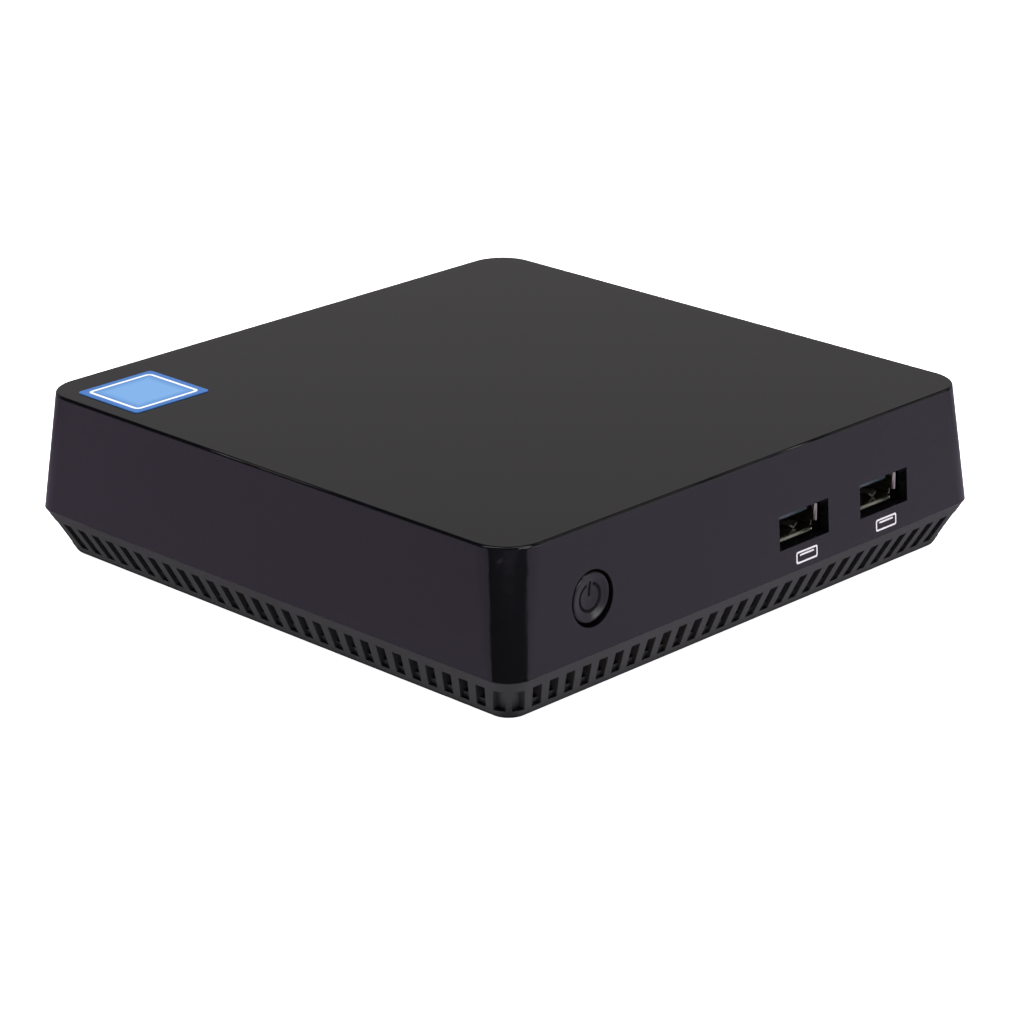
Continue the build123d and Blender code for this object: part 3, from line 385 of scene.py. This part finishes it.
def plated_contact():
    # Hard gold over nickel on stamped contacts: small bright yellow flashes.
    return brushed("gold_plated_contact", linear("#E3B95B"), 0.22, 0.04 * MM, 1)


def copper_plate():
    # Bare machined copper with a slight tarnish: an orange shine drawn out along the cutter's lines.
    return brushed("machined_copper", linear("#C8794F"), 0.32, 0.08 * MM, 0)


def fin_aluminium():
    # Stamped mill-finish aluminium: pale, with faint rolling lines.
    return brushed("stamped_aluminium", linear("#C4C6C8"), 0.3, 0.08 * MM, 1)


def cell_steel():
    # Deep-drawn stainless can of a coin cell: a clean, cool shine.
    return brushed("drawn_stainless_steel", linear("#BFC0BE"), 0.25, 0.06 * MM, 0)


def moulded_part(name, hex_code, roughness=0.5):
    # Plain moulded engineering plastic of the hidden parts: even colour with a soft sheen.
    return grained(name, linear(hex_code), roughness, 0.3 * MM, 0.004 * MM, 0.15, 0.08)


def epoxy_chip():
    # Transfer-moulded epoxy: flat charcoal with a fine sparkle of filler.
    return grained("moulded_epoxy", linear("#1E1F21"), 0.55, 0.1 * MM, 0.003 * MM, 0.3, 0.12)


def board_laminate():
    # Glass-epoxy board under black solder mask: copper tracks below show as slightly lighter, raised bands.
    made, tree, shader, place = start_material("black_masked_laminate")
    patch, fold, contrast = 2.4 * MM, 0.16, 6.0
    cells = add(tree, "ShaderNodeTexVoronoi", {"Vector": place, "Scale": 1.0 / patch},
                distance="MANHATTAN", feature="F1").outputs["Distance"]
    bands = between(tree, maths(tree, "PINGPONG", cells, fold), 0.0, 1.0, 0.0, contrast)
    tone = tint(tree, bands, linear("#0B0D0C"), linear("#1A1F1C"), 0.35, 0.6)
    tree.links.new(tone, shader.inputs["Base Color"])
    rough = between(tree, noise(tree, place, 0.4 * MM, 4.0), 0.0, 1.0, 0.28, 0.42)
    tree.links.new(rough, shader.inputs["Roughness"])
    relief(tree, shader, bands, 0.01 * MM)
    return made


def rounded_distance(tree, place, centre, half, corner):
    """How far a point is outside a flat rounded rectangle; less than nothing inside it."""
    offset = add(tree, "ShaderNodeVectorMath", {0: place, 1: centre}, operation="SUBTRACT").outputs[0]
    flat = add(tree, "ShaderNodeSeparateXYZ", {"Vector": offset})
    reach = [maths(tree, "SUBTRACT", maths(tree, "ABSOLUTE", flat.outputs[axis]), size - corner)
             for axis, size in (("X", half.x), ("Y", half.y))]
    outside = [maths(tree, "MAXIMUM", past, 0.0) for past in reach]
    diagonal = add(tree, "ShaderNodeCombineXYZ", {"X": outside[0], "Y": outside[1]}).outputs[0]
    round_part = add(tree, "ShaderNodeVectorMath", {0: diagonal}, operation="LENGTH").outputs["Value"]
    inner_part = maths(tree, "MINIMUM", maths(tree, "MAXIMUM", *reach), 0.0)
    return maths(tree, "SUBTRACT", maths(tree, "ADD", round_part, inner_part), corner)


def sticker_film(look):
    # Gloss-laminated printed film: a blue ground that lightens to the middle, and a white line.
    made, tree, shader, place = start_material("laminated_print_film", Roughness=0.22, IOR=1.5)
    low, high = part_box("top_sticker")
    half = (high - low) / 2
    line_half = half - Vector((look.line_inset, look.line_inset, 0.0))
    from_line = rounded_distance(tree, place, low + half, line_half, look.line_corner)
    line, blur, deepest = look.line_width / 2, 0.06 * MM, -0.8 * half.x
    in_line = between(tree, maths(tree, "ABSOLUTE", from_line), line - blur, line + blur, 1.0, 0.0)
    towards_edge = between(tree, from_line, deepest, look.line_inset)
    ground = tint(tree, towards_edge, look.centre_colour, look.edge_colour, 0.55, 0.92)
    printed = add(tree, "ShaderNodeMix", {"Factor": in_line, 6: ground, 7: (*look.line_colour, 1.0)},
                  data_type="RGBA")
    tree.links.new(printed.outputs[2], shader.inputs["Base Color"])
    relief(tree, shader, noise(tree, place, 0.5 * MM), 0.001 * MM)
    return made


def blank_film():
    # Matt polyester label film with a faint orange-peel.
    return grained("matt_polyester_label", linear("#C9C9C6"), 0.6, 0.4 * MM, 0.002 * MM, 0.04, 0.08)


# ---- pieces -----------------------------------------------------------------------------------------


class MINIPC_OT_case(bpy.types.Operator):
    """Finish the upper shell, the vented tray, the feet, the screws and the labels"""

    bl_idname = "minipc.case"
    bl_label = "Case"

    def execute(self, context):
        look = context.scene.minipc_case
        paint(shell_abs(look), "upper_shell")
        paint(tray_abs(look), "base_tray")
        rubber = foot_rubber()
        paint(rubber, "foot_front_left", "foot_front_right", "foot_rear_left", "foot_rear_right")
        paint(zinc_screw(), "case_screws", "board_screws", "spreader_screws", "blower_screws", "ssd_screw",
              "impeller_shaft")
        paint(knurled_brass(), "bracket_inserts", "ssd_standoff")
        paint(blank_film(), "base_label")
        return {"FINISHED"}


PAINT_PROFILE = (  # (share of the half-width, millimetres behind the hollow face)
    (-1.0, 0.13), (-0.9, -0.02), (0.0, -0.02), (0.9, -0.02), (1.0, 0.13),
)
RING_STEPS = 48
BAR_SPOTS = (0.08, 0.35, 0.62, 0.9, 1.17)  # up the bar, in ring radii


def paint_band(mesh_data, path, look):
    """A thin band of paint on the button's hollow face, along points with their sideways directions."""
    centre, front = middle("power_button"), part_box("power_button")[0].y
    half = look.mark_stroke / 2
    rings = []
    for spot, side in path:
        ring = []
        for share_out, depth in PAINT_PROFILE:
            p = spot + side * half * share_out
            dish = look.dish_depth - p.length_squared / (2 * look.dish_radius)
            ring.append(Vector((centre.x + p.x, front + dish + depth * MM, centre.z + p.y)))
        rings.append(ring)
    made = skin(mesh_data, rings)
    mesh_data.faces.new(made[0])
    mesh_data.faces.new(made[-1])


class MINIPC_OT_button(bpy.types.Operator):
    """Finish the power button and fill its sunk mark with paint"""

    bl_idname = "minipc.button"
    bl_label = "Power button"

    def execute(self, context):
        case, look = context.scene.minipc_case, context.scene.minipc_mark
        paint(button_abs(case), "power_button")
        mesh_data = bmesh.new()
        arc = []
        for step in range(RING_STEPS + 1):
            turn = math.pi / 2 + look.mark_gap + 2 * (math.pi - look.mark_gap) * step / RING_STEPS
            way = Vector((math.cos(turn), math.sin(turn)))
            arc.append((look.mark_radius * way, way))
        paint_band(mesh_data, arc, look)
        bar = [(Vector((0, up * look.mark_radius)), Vector((1, 0))) for up in BAR_SPOTS]
        paint_band(mesh_data, bar, look)
        piece("button_mark", mesh_data, mark_paint(look), BUTTON_BODY)
        return {"FINISHED"}


LIP_PROFILE = (  # (behind the mouth, outwards from the inside of the sheet), millimetres
    (1.1, 0.0), (0.58, 0.0), (0.5, 0.015), (0.42, 0.07), (0.07, 0.42), (0.03, 0.49), (0.04, 0.56),
    (0.11, 0.6), (0.2, 0.58), (0.42, 0.36), (0.55, 0.31), (1.1, 0.3),
)
LIP_ENDS = (  # (share of half a lip, share of its flare)
    (-1.0, 0.75), (-0.97, 1.0), (0.97, 1.0), (1.0, 0.75),
)
SPRING_SECTIONS = (  # (behind the tip, lift) in millimetres, and how far the edges turn up
    (7.5, 0.0, 0.0), (4.2, 0.12, 0.05), (2.9, 0.2, 0.3), (1.9, 0.14, 0.8), (1.05, 0.05, 1.0),
    (0.1, 0.0, 0.95), (0.0, 0.05, 0.9),
)
ACROSS_SPRING = (-1.0, -0.8, -0.5, -0.2, 0.0, 0.2, 0.5, 0.8, 1.0)
SPRING_CURVE = 1.2  # 1 folds the edges up as a V, 2 as a round trough


def socket_frame(node, look):
    """Middle x, lowest z and mouth y of a front socket shell, leaving out its solder legs."""
    low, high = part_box(node)
    return (low.x + high.x) / 2, high.z - look.height, low.y


def socket_shell(name, node, look, material):
    """A pressed shell open at the front, with a flared lip on each side of its mouth."""
    low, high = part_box(node)
    width, height = high.x - low.x, look.height
    x, z0, mouth = socket_frame(node, look)
    z, back = z0 + height / 2, high.y
    front, round_edge, least_corner = mouth + look.lip_back, 0.1 * MM, 0.15 * MM

    def ring(inset, y):
        loop = rounded_loop(width - 2 * inset, height - 2 * inset, max(look.corner - inset, least_corner))
        return [Vector((x + p.x, y, z + p.y)) for p in loop]

    mesh_data = bmesh.new()
    rings = skin(mesh_data, [
        ring(look.corner, back), ring(0.3 * look.corner, back - 0.3 * look.corner),
        ring(0, back - look.corner), ring(0, front + round_edge), ring(round_edge, front),
        ring(look.sheet - round_edge, front), ring(look.sheet, front + round_edge),
        ring(look.sheet, back - look.sheet),
    ])
    mesh_data.faces.new(rings[0])
    mesh_data.faces.new(rings[-1])
    for turn in range(4):
        along, reach = (width, height) if turn % 2 == 0 else (height, width)
        half = along / 2 - look.lip_gap
        out = Vector((math.sin(turn * math.pi / 2), -math.cos(turn * math.pi / 2)))
        side = Vector((-out.y, out.x))
        ends = []
        for share_along, flare in LIP_ENDS:
            ring_points = []
            for run, outward in LIP_PROFILE:
                offset = reach / 2 - look.sheet + flare * outward * MM
                spot = out * offset + side * (half * share_along)
                ring_points.append(Vector((x + spot.x, mouth + run * MM, z + spot.y)))
            ends.append(ring_points)
        made = skin(mesh_data, ends)
        mesh_data.faces.new(made[0])
        mesh_data.faces.new(made[-1])
    return piece(name, mesh_data, material, BODY, [node], smooth_angle=40.0)


def contact_spring(name, x, floor_z, mouth, look, material):
    """A flat spring along the floor of a socket, with its edges turned up towards its tip."""
    half, thick = look.spring_width / 2, look.spring_sheet
    mesh_data = bmesh.new()
    rings = []
    for run, lift, edge in SPRING_SECTIONS:
        y, top_z = mouth + look.spring_front + run * MM, floor_z + lift * MM + thick
        rise = edge * look.spring_rise
        top = [Vector((x + half * out, y, top_z + rise * abs(out) ** SPRING_CURVE)) for out in ACROSS_SPRING]
        under = [point - Vector((0, 0, thick)) for point in reversed(top)]
        rings.append(top + under)
    made = skin(mesh_data, rings)
    mesh_data.faces.new(made[0])
    mesh_data.faces.new(made[-1])
    return piece(name, mesh_data, material, BODY, smooth_angle=50.0)


class MINIPC_OT_sockets(bpy.types.Operator):
    """Build the front socket shells with their springs, and finish every other socket"""

    bl_idname = "minipc.sockets"
    bl_label = "Sockets"

    def execute(self, context):
        look = context.scene.minipc_socket
        nickel, tin = nickel_sheet(), spring_sheet()
        for number in (1, 2):
            node = f"front_usb_shell_{number}"
            socket_shell(f"socket_shell_{number}", node, look, nickel)
            middle_x, low_z, mouth = socket_frame(node, look)
            for side, word in ((-1, "left"), (1, "right")):
                x = middle_x + side * look.spring_offset
                contact_spring(f"socket_spring_{number}_{word}", x, low_z + look.sheet, mouth, look, tin)
        paint(nickel, "rear_usb_shell", "hdmi_shell", "dc_pin")
        nylon = socket_nylon()
        # The front tongues are black plastic: their colour is lightened to a blue-grey as a painted highlight
        # along their noses, with a real gloss on top
        tongue = moulded_part("pbt_lightened_as_highlight", "#343B43", 0.25)
        paint(tongue, "front_usb_tongue_1", "front_usb_tongue_2")
        paint(nylon, "rear_usb_tongues", "hdmi_tongue", "rj45_jack",
              "audio_jack", "dc_jack", "memory_socket", "ssd_socket", "wifi_socket", "battery_holder")
        paint(plated_contact(), "usb_contacts", "rj45_contacts")
        return {"FINISHED"}


def wall_y(z, look):
    """Front face of the leaning front wall at height z."""
    low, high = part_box("upper_shell")
    return low.y + (-look.top_half - low.y) * (z - low.z) / (high.z - low.z)


def ink_strip(mesh_data, outer, inner, place):
    """A flat printed band between two loops of points with the same count."""
    rings = [[mesh_data.verts.new(place(p)) for p in loop] for loop in (outer, inner)]
    for i in range(len(outer)):
        j = (i + 1) % len(outer)
        mesh_data.faces.new((rings[0][i], rings[0][j], rings[1][j], rings[1][i]))


class MINIPC_OT_marks(bpy.types.Operator):
    """Print a plain socket outline under each front socket"""

    bl_idname = "minipc.marks"
    bl_label = "Printed marks"

    def execute(self, context):
        look, case = context.scene.minipc_mark, context.scene.minipc_case
        socket = context.scene.minipc_socket
        ink = pad_ink(look)
        inner = look.stroke * 2
        outline = [rounded_loop(look.width, look.height, look.corner),
                   rounded_loop(look.width - inner, look.height - inner, look.inner_corner)]
        bar = rounded_loop(look.bar_share * look.width, look.stroke, look.bar_corner)
        for number in (1, 2):
            mark_x = middle(f"front_usb_tongue_{number}").x + look.shift
            mark_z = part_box(f"front_usb_shell_{number}")[1].z - socket.height / 2 - look.drop

            def place(p):
                z = mark_z + p.y
                return Vector((mark_x + p.x, wall_y(z, case) - look.ink, z))

            mesh_data = bmesh.new()
            ink_strip(mesh_data, *outline, place)
            raised = [place(p + Vector((0, look.bar_rise))) for p in bar]
            mesh_data.faces.new([mesh_data.verts.new(point) for point in raised])
            piece(f"port_mark_{number}", mesh_data, ink, BODY)
        return {"FINISHED"}


class MINIPC_OT_sticker(bpy.types.Operator):
    """Finish the printed sticker on the top"""

    bl_idname = "minipc.sticker"
    bl_label = "Sticker"

    def execute(self, context):
        paint(sticker_film(context.scene.minipc_sticker), "top_sticker")
        return {"FINISHED"}


class MINIPC_OT_inside(bpy.types.Operator):
    """Finish the mainboard, the cooler, the cards and the small parts"""

    bl_idname = "minipc.inside"
    bl_label = "Inside"

    def execute(self, context):
        paint(board_laminate(), "mainboard", "memory_module", "ssd_module", "wifi_module", "processor",
              "antenna_left", "antenna_right")
        paint(epoxy_chip(), "switch_body", "chokes")
        paint(copper_plate(), "heat_spreader", "heat_pipe")
        paint(fin_aluminium(), "fin_stack", "blower_cover", "capacitors")
        paint(cell_steel(), "coin_cell")
        paint(moulded_part("moulded_pbt", "#17181A"), "blower_housing", "blower_impeller")
        paint(moulded_part("moulded_polyamide", "#D8D2C0"), "switch_plunger", "fan_header")
        paint(moulded_part("lacquered_winding", "#6A4A1E", 0.35), "motor_stator")
        paint(moulded_part("extruded_cable_jacket", "#141414", 0.45), "fan_lead", "antenna_lead_left",
              "antenna_lead_right")
        paint(moulded_part("filled_grease", "#9A9A98", 0.6), "thermal_paste")
        return {"FINISHED"}


# ---- stage ------------------------------------------------------------------------------------------


def flat_object(name, points, z):
    mesh_data = bmesh.new()
    mesh_data.faces.new([mesh_data.verts.new((x, y, z)) for x, y in points])
    mesh = bpy.data.meshes.new(name)
    mesh_data.to_mesh(mesh)
    mesh_data.free()
    made = bpy.data.objects.new(name, mesh)
    bpy.context.scene.collection.objects.link(made)
    return made


def softbox(name, place, aim, size, power):
    """A square area light that looks at a point."""
    lamp = bpy.data.lights.new(name, "AREA")
    lamp.shape = "RECTANGLE"
    lamp.size, lamp.size_y = size
    lamp.energy = power
    made = bpy.data.objects.new(name, lamp)
    bpy.context.scene.collection.objects.link(made)
    made.location = place
    made.rotation_euler = (Vector(place) - Vector(aim)).to_track_quat("Z", "Y").to_euler()
    return made


TABLE_HALF = 4.0
HIDDEN_LAMPS = (  # name, place and size in metres, watts; reflections don't show these
    ("softbox_top", (0.0, 0.1, 1.1), (1.4, 1.4), 16.0),
    ("softbox_left", (-1.0, 0.1, 0.5), (0.9, 0.7), 3.0),
    ("softbox_right", (0.5, -1.0, 0.5), (0.9, 0.7), 3.0),
    ("softbox_camera", (-0.8, -0.8, 0.3), (0.8, 0.5), 3.0),
)
LAMP_AWAY = 1.1
NEAR_CORNER = (-0.055, -0.055, 0.033)
SEEN_LAMPS = (  # name, way from the table's middle, size in metres, watts; these give the glints
    ("strip_left", (-0.445, 0.149, 0.882), (0.16, 0.8), 1.8),
    ("strip_front", (-0.24, -0.245, 0.94), (0.3, 0.6), 0.3),
    ("strip_right", (0.144, -0.446, 0.882), (0.16, 0.8), 1.8),
    ("panel_right", (0.668, -0.342, 0.661), (0.5, 0.5), 0.4),
    ("panel_front", (-0.08, -0.9, 0.42), (0.5, 0.35), 1.6),
    ("panel_low", (0.7, -0.7, 0.12), (0.7, 0.3), 0.4),
)
BUTTON_FRONT = (-0.04, -0.064, 0.018)
GLOW_CARD = ("glow_card", (0.095, -0.331, 0.031), BUTTON_FRONT, (0.12, 0.06), 0.06)
BLACK_OUTLINE = (  # (metres from the case's near corner, degrees to the right of the camera's direction)
    (0.03, -60), (0.045, -60), (0.061, -59), (0.077, -57), (0.101, -55), (0.132, -52), (0.26, -48),
    (0.5, -44), (0.5, 44), (0.26, 47), (0.132, 52), (0.101, 58), (0.077, 62), (0.061, 65), (0.045, 67),
    (0.03, 67),
)
CORNER_RADIUS = 7.5 * MM
UNDER_HALF = 59.0 * MM
CARD_LIFT = 0.1 * MM
TONE_TURN = (-0.1, 0.1)        # metres of x - y over which the grey card's tone turns to the front's
NEAR_TURN = (0.3, 0.7)         # shares of that over which its near part turns
NEAR_END = (0.066, 0.08)       # metres from the middle between which its near part ends
CARD_FALL = (0.01, 0.08)       # metres of x + y over which it grows darker
CARD_DARK = 0.5                # its light behind the case, where the front's is 1
BACKWARDS = (0.7071, 0.7071, 0.0)
WALL_TOP = (0.42, 0.56)        # upward parts of a direction between which the wall ends
WALL_SIDES = (0.45, 0.8)       # backward parts of a direction between which the wall begins
DARKNESS = 0.06                # light of the surroundings beside the wall, where its own is 1


def square(half):
    return [(-half, -half), (half, -half), (half, half), (-half, half)]


def hide_card(card, from_soft_light=True):
    """Leaves a card to reflections, and to soft light when it is to darken that too."""
    card.visible_camera = False
    card.visible_diffuse = not from_soft_light
    card.visible_shadow = False


def studio_air(scene, look):
    """Surroundings that only reflections see: a pale wall low down at the back, and darkness elsewhere."""
    world = bpy.data.worlds.new("studio_air")
    scene.world = world
    world.use_nodes = True
    tree = world.node_tree
    way = add(tree, "ShaderNodeTexCoord").outputs["Generated"]
    height = add(tree, "ShaderNodeSeparateXYZ", {"Vector": way}).outputs["Z"]
    behind = add(tree, "ShaderNodeVectorMath", {0: way, 1: BACKWARDS}, operation="DOT_PRODUCT")
    tone = tint(tree, height, look.wall_colour, look.ceiling_colour, *WALL_TOP)
    glow = between(tree, behind.outputs["Value"], *WALL_SIDES, DARKNESS, 1.0)
    background = tree.nodes["Background"].inputs
    tree.links.new(tone, background["Color"])
    tree.links.new(glow, background["Strength"])


def studio_camera(scene, look):
    az, el, roll = look.azimuth, look.elevation, look.roll
    back = Vector((math.sin(az) * math.cos(el), -math.cos(az) * math.cos(el), math.sin(el)))
    right = Vector((math.cos(az), math.sin(az), 0.0))
    up = back.cross(right)
    x_axis = right * math.cos(roll) + up * math.sin(roll)
    y_axis = up * math.cos(roll) - right * math.sin(roll)
    lens = bpy.data.cameras.new("camera")
    lens.sensor_width = 36.0
    lens.lens = look.focal
    lens.shift_y = look.shift
    made = bpy.data.objects.new("camera", lens)
    scene.collection.objects.link(made)
    turn = Matrix((x_axis, y_axis, back)).transposed().to_4x4()
    made.matrix_world = Matrix.Translation(Vector((0, 0, look.aim_height)) + back * look.distance) @ turn
    scene.camera = made


def table_paint(look):
    # Painted board under strong light: pale and even, with hardly any shine.
    finish, tree, shader, place = start_material("painted_table", Roughness=0.9, Specular_IOR_Level=0.1)
    patch, variation = 0.2, 0.01
    tone = tint(tree, noise(tree, place, patch), *shades(look.floor_colour, variation), *NOISE_SPAN)
    tree.links.new(tone, shader.inputs["Base Color"])
    tree.links.new(tone, shader.inputs["Emission Color"])
    shader.inputs["Emission Strength"].default_value = look.floor_glow
    return finish


def glowing_card(look):
    # Grey card that glows, though it is no lamp, to paint the reflections in the case's sides: its tones turn
    # from the left side's to the front's, and it is darker behind the case.
    finish, tree, shader, place = start_material("glowing_reflection_card", Roughness=1.0, Specular_IOR_Level=0.0)
    flat = add(tree, "ShaderNodeSeparateXYZ", {"Vector": place})
    x, y = flat.outputs["X"], flat.outputs["Y"]
    to_front = between(tree, maths(tree, "SUBTRACT", x, y), *TONE_TURN)
    far_tone = tint(tree, to_front, look.left_card, look.front_card)
    near_tone = tint(tree, to_front, look.near_left, look.near_front, *NEAR_TURN)
    reach = maths(tree, "MAXIMUM", maths(tree, "ABSOLUTE", x), maths(tree, "ABSOLUTE", y))
    away = between(tree, reach, *NEAR_END)
    tone = add(tree, "ShaderNodeMix", {"Factor": away, 6: near_tone, 7: far_tone}, data_type="RGBA")
    tree.links.new(tone.outputs[2], shader.inputs["Emission Color"])
    fall = between(tree, maths(tree, "ADD", x, y), *CARD_FALL, 1.0, CARD_DARK)
    tree.links.new(fall, shader.inputs["Emission Strength"])
    shader.inputs["Base Color"].default_value = (0.0, 0.0, 0.0, 1.0)
    return finish


def wool_felt():
    # Black pressed wool felt: swallows light, with a fine nap.
    return grained("black_felt", linear("#050505"), 0.95, 2 * MM, 0.1 * MM)


def studio_cards(look):
    """Cards that only reflections see; the one under the case also keeps the table's glow off the tray."""
    grey = flat_object("grey_card", square(TABLE_HALF), CARD_LIFT)
    grey.data.materials.append(glowing_card(look))
    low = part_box("upper_shell")[0]
    corner = Vector((low.x + CORNER_RADIUS, low.y + CORNER_RADIUS))
    points = []
    for far, turn in BLACK_OUTLINE:
        way = look.azimuth - math.pi / 2 + math.radians(turn)
        points.append(corner + far * Vector((math.cos(way), math.sin(way))))
    black = flat_object("black_card", points, 2 * CARD_LIFT)
    under = flat_object("under_card", square(UNDER_HALF), 3 * CARD_LIFT)
    felt = wool_felt()
    for card in (black, under):
        card.data.materials.append(felt)
    hide_card(grey)
    hide_card(black)
    hide_card(under, from_soft_light=False)


class MINIPC_OT_stage(bpy.types.Operator):
    """Set up the camera, the lights and a plain pale table"""

    bl_idname = "minipc.stage"
    bl_label = "Studio"

    def execute(self, context):
        look, scene = context.scene.minipc_studio, context.scene
        scene.view_settings.view_transform = "Standard"
        studio_camera(scene, look)
        floor = flat_object("floor", square(TABLE_HALF), 0.0)
        floor.visible_glossy = False
        floor.data.materials.append(table_paint(look))
        studio_cards(look)
        for name, place, size, power in HIDDEN_LAMPS:
            softbox(name, place, (0, 0, 0), size, power).visible_glossy = False
        for name, way, size, power in SEEN_LAMPS:
            softbox(name, Vector(way) * LAMP_AWAY, NEAR_CORNER, size, power)
        softbox(*GLOW_CARD)
        studio_air(scene, look)
        return {"FINISHED"}


class MINIPC_PT_panel(bpy.types.Panel):
    """Steps that build the looks, in order"""

    bl_idname = "MINIPC_PT_panel"
    bl_label = "Mini PC"
    bl_space_type = "VIEW_3D"
    bl_region_type = "UI"
    bl_category = "Mini PC"

    def draw(self, context):
        for step in STEPS:
            self.layout.operator(step.bl_idname)
        for name in LOOKS:
            look = getattr(context.scene, name)
            box = self.layout.box()
            for key in look.__annotations__:
                box.prop(look, key)


STEPS = (MINIPC_OT_case, MINIPC_OT_button, MINIPC_OT_sockets, MINIPC_OT_marks, MINIPC_OT_sticker,
         MINIPC_OT_inside, MINIPC_OT_stage)
LOOKS = {
    "minipc_case": CaseLook,
    "minipc_mark": MarkLook,
    "minipc_sticker": StickerLook,
    "minipc_socket": SocketLook,
    "minipc_studio": StudioLook,
}


def register():
    for kind in (*LOOKS.values(), *STEPS, MINIPC_PT_panel):
        bpy.utils.register_class(kind)
    for name, kind in LOOKS.items():
        setattr(bpy.types.Scene, name, PointerProperty(type=kind))


def unregister():
    for name in LOOKS:
        delattr(bpy.types.Scene, name)
    for kind in reversed((*LOOKS.values(), *STEPS, MINIPC_PT_panel)):
        bpy.utils.unregister_class(kind)


def main():
    register()
    bpy.ops.minipc.case()
    bpy.ops.minipc.button()
    bpy.ops.minipc.sockets()
    bpy.ops.minipc.marks()
    bpy.ops.minipc.sticker()
    bpy.ops.minipc.inside()
    bpy.ops.minipc.stage()


if __name__ == "__main__":
    main()
